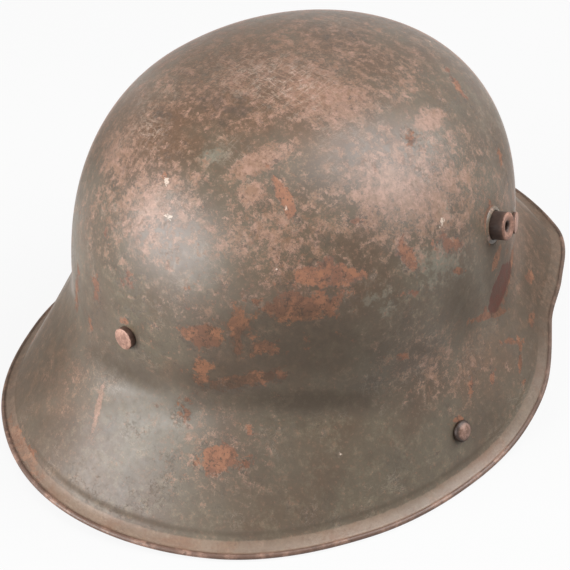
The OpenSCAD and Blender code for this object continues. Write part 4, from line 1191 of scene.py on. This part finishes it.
def pad_r(q, z):
    """Radius of a pad's back at a height."""
    up = np.clip((z - PAD_BASE) / (CROWN_H - CROWN_GAP - PAD_BASE), 0, 1)
    a = np.degrees(np.arcsin(up ** (roundness(q) / 2)))
    return np.where(z < PAD_BASE, pad_low(q, z)[..., 0], pad_high(q, a)[..., 0])


def cushion_mesh(name, q0):
    k = np.linspace(-1, 1, CUSHION_COLS)[None, :]
    q = q0 + PAD_SPAN * CUSHION_SPAN * k
    crown = (1 - np.abs(k * CUSHION_ROUND) ** 3) ** (1 / 3)
    half = CUSHION_H / 2 * mixed(CUSHION_ENDS, 1, crown)
    t = (np.arange(CUSHION_TURNS) * 2 * math.pi / CUSHION_TURNS)[:, None]
    c, v = np.cos(t), np.sin(t)
    z = CUSHION_Z + CUSHION_H / 2 + half * np.sign(v) * np.abs(v) ** CUSHION_SQUARE
    outer = band_in(q, z) - CUSHION_BACK
    inner = pad_r(q, z) + CUSHION_ROOM
    middle, thick = (outer + inner) / 2, (outer - inner) / 2 * mixed(CUSHION_THIN, 1, crown)
    seam = np.exp(-(c / SEAM_W) ** 2)
    pucker = PUCKER * np.exp(-(c / PUCKER_W) ** 2) * np.sin(np.radians(q * 360 / PUCKER_STEP))
    folds = FOLD * np.sin(np.radians(q * 17 + 40 * v)) * np.sin(np.radians(q * 7 - 90 * c)) * (1 - seam)
    r = middle + thick * np.sign(c) * np.abs(c) ** CUSHION_SQUARE
    r = r + np.sign(c) * np.minimum(pucker + folds, 0)
    rows = placed(np.broadcast_to(q, r.shape), np.stack([r, np.broadcast_to(z, r.shape)], axis=-1))
    faces = grid_faces(CUSHION_TURNS, CUSHION_COLS, wrap_rows=True)
    ends = [[j * CUSHION_COLS + e for j in range(CUSHION_TURNS)] for e in (0, CUSHION_COLS - 1)]
    return outward(link(name, rows.reshape(-1, 3), faces + [tuple(ends[0][::-1]), tuple(ends[1])]))


THREAD_STEP, THREAD_LONG, LINEN_ROUGH = 0.55, 0.02, 0.9


def linen(name, base, dark):
    """Plain-woven cloth: two crossed sets of threads, uneven and soiled."""
    p = Paint(name)
    close, far = 1 / (THREAD_STEP * MM), THREAD_LONG / (THREAD_STEP * MM)
    ways = ((close, close, far), (far, far, close))
    weave = p.plus(*(p.noise(1, 2, 0.5, at=p.stretched(way)) for way in ways))
    colour = p.layered(
        srgb(*base),
        (p.patches(12, 6, 0.65, 0.45, 0.7, 0.6), srgb(*dark)),
        (p.step(weave, 0.7, 1.1, 0.35), srgb(*dark)))
    return p.finish(colour, LINEN_ROUGH, weave, 0.15)


cushion_linen = linen("cushion_linen", (182, 166, 136), (122, 104, 78))
for name, q0 in PADS.items():
    cushion = cushion_mesh(name + "_linen_cushion", q0)
    dress(cushion, cushion_linen, "cushion_cloth", name + "_cushion")

# Chin strap: flat leather bent to a U, hanging from its posts at the tilt that meets the table
STRAP_W, STRAP_T, STRAP_REACH, STRAP_R, STRAP_U = 15, 2.2, 106, 52, 16
STRAP_X, POST_Y, POST_Z, STRAP_TILT = 101.156, 0.901, 33.2824, 12.6328
STITCH_L, STITCH_STEP, STITCH_R, STITCH_IN = 2.4, 3.6, 0.28, 1.6
STITCH_MARGIN = 3
# Along a stitch: how far, how thick, and how high it lies
STITCH_ROWS = ((0, 0.3, -0.5), (0.2, 1, 0.45), (0.8, 1, 0.45), (1, 0.3, -0.5))
STITCH_SIDES = 6
SIDE_ROWS, STRAP_CORNERS, FRONT_ROWS, STRAP_EDGE = 15, 24, 23, 0.6


def strap_line(inset):
    """Points (x, y) along the strap, set in from its outside, with their outward directions."""
    corner = np.array([STRAP_X - STRAP_R, STRAP_R - STRAP_REACH])
    turns = np.radians(np.linspace(0, 90, STRAP_CORNERS + 1))
    bend = np.stack([np.cos(turns), -np.sin(turns)], axis=-1)
    side = [(STRAP_X - inset, mixed(-STRAP_U, corner[1], k / SIDE_ROWS)) for k in range(SIDE_ROWS)]
    front = [(corner[0] * (1 - 2 * k / FRONT_ROWS), inset - STRAP_REACH)
             for k in range(1, FRONT_ROWS // 2 + 1)]
    line = np.concatenate([side, corner + (STRAP_R - inset) * bend, front])
    out = np.concatenate([[(1, 0)] * len(side), bend, [(0, -1)] * len(front)])
    return [np.concatenate([half, half[::-1] * (-1, 1)]) for half in (line, out)]


def in_strap_frame(points):
    """From the strap's own frame, where it runs along -y from its posts, to the helmet's."""
    points = np.array(points, float)
    points[..., 1:] = turned(points[..., 1:], STRAP_TILT) + (POST_Y, POST_Z)
    return points


def strap_mesh():
    line, out = strap_line(STRAP_T / 2)
    section = []
    for cx, cz, start in ((1, 1, 0), (-1, 1, 90), (-1, -1, 180), (1, -1, 270)):
        for a in (0, 30, 60, 90):
            t = math.radians(start + a)
            section.append((cx * (STRAP_T / 2 - STRAP_EDGE) + STRAP_EDGE * math.cos(t),
                            cz * (STRAP_W / 2 - STRAP_EDGE) + STRAP_EDGE * math.sin(t)))
    points = in_strap_frame([[(*(at + d * way), z) for d, z in section] for at, way in zip(line, out)])
    n = len(section)
    faces = grid_faces(len(line), n, wrap_cols=True)
    faces += [tuple(range(n)), tuple((len(line) - 1) * n + j for j in reversed(range(n)))]
    return outward(link("leather_strap", points.reshape(-1, 3), faces))


def stitch_mesh():
    """Short threads along both edges of the strap, on both faces."""
    line, out = strap_line(STRAP_T / 2)
    steps = np.concatenate([[0], np.cumsum(np.linalg.norm(np.diff(line, axis=0), axis=1))])
    starts = np.arange(STITCH_MARGIN, steps[-1] - STITCH_MARGIN, STITCH_STEP)
    ring = [(math.cos(a), math.sin(a)) for a in np.arange(STITCH_SIDES) * 2 * math.pi / STITCH_SIDES]
    vertices, faces = [], []
    for face_side, edge, start in itertools.product((-1, 1), (-1, 1), starts):
        base, last = len(vertices), (len(STITCH_ROWS) - 1) * STITCH_SIDES
        for k, swell, rise in STITCH_ROWS:
            x, y, ox, oy = (np.interp(start + STITCH_L * k, steps, row) for row in (*line.T, *out.T))
            for c, s in ring:
                d = face_side * (STRAP_T / 2 + STITCH_R * rise) + STITCH_R * swell * c
                z = edge * (STRAP_W / 2 - STITCH_IN) + STITCH_R * swell * s
                vertices.append((x + ox * d, y + oy * d, z))
        grid = grid_faces(len(STITCH_ROWS), STITCH_SIDES, wrap_cols=True, start=base)
        faces += [(f[0], *f[:0:-1]) for f in grid]
        faces.append(tuple(base + j for j in reversed(range(STITCH_SIDES))))
        faces.append(tuple(base + last + j for j in range(STITCH_SIDES)))
    return link("strap_stitching", in_strap_frame(vertices), faces)


strap_leather = leather("strap_leather", (92, 62, 42), (122, 84, 56), (50, 34, 24), 0.9, 0.45)
thread_cord = linen("thread_cord", (168, 150, 118), (110, 92, 68))
dress(strap_mesh(), strap_leather, "strap_leather", "chin_strap", body="strap")
dress(stitch_mesh(), thread_cord, "strap_leather", body="strap")

# Studio: a pale floor, a soft even world and large soft lamps
FLOOR_HALF = 4
FLOOR_PALE = (0.4, 0.4, 0.4, 1)
FLOOR_WHITE = 0.9
WORLD_LIGHT = 0.1
LAMPS = {
    "left": ((163, 17), 1.2, (1.16, 0.78), 31),
    "right": ((311, 47), 1.2, (0.92, 1.18), 26.5),
    "top": ((240, 78), 1.3, (0.6, 0.6), 3),
}
LAMP_AIM = Vector((0, 0, 0.08))
CORNERS = ((-1, -1, 0), (1, -1, 0), (1, 1, 0), (-1, 1, 0))
floor = link("floor", np.array(CORNERS) * FLOOR_HALF / MM, [(0, 1, 2, 3)])


def shown_white(tree):
    """1 where a surface is seen, directly, in gloss or through glass, and 0 where it only lights."""
    path = add_node(tree, "LightPath").outputs
    shown = path["Is Camera Ray"]
    for ray in ("Is Glossy Ray", "Is Transmission Ray"):
        shown = add_node(tree, "Math", {0: shown, 1: path[ray]}, operation="MAXIMUM").outputs[0]
    return shown


def pale_floor():
    """Plain and pale: white where it is seen, apart from the object's shadow."""
    material, tree = node_material("pale_floor")
    plain = add_node(tree, "BsdfDiffuse", {"Color": FLOOR_PALE})
    white = add_node(tree, "Emission")
    share = add_node(tree, "Math", {0: shown_white(tree), 1: FLOOR_WHITE}, operation="MULTIPLY")
    mix = add_node(tree, "MixShader", {0: share.outputs[0], 1: plain.outputs[0], 2: white.outputs[0]})
    add_node(tree, "OutputMaterial", {"Surface": mix.outputs[0]})
    return material


floor.data.materials.append(pale_floor())
world = bpy.data.worlds.new("studio")
bpy.context.scene.world = world
world.use_nodes = True
tree = world.node_tree
background = tree.nodes["Background"]
background.inputs["Color"].default_value = (1, 1, 1, 1)
level = add_node(tree, "MapRange", {"Value": shown_white(tree), "To Min": WORLD_LIGHT, "To Max": 1})
tree.links.new(level.outputs[0], background.inputs["Strength"])
for name, ((az, el), distance, (wide, tall), watts) in LAMPS.items():
    light = set_all(bpy.data.lights.new(name, "AREA"), shape="RECTANGLE", size=wide, size_y=tall,
                    energy=watts)
    set_all(new_object(name, light), location=LAMP_AIM + distance * away(az, el),
            rotation_euler=away(az, el).to_track_quat("Z", "Y").to_euler())
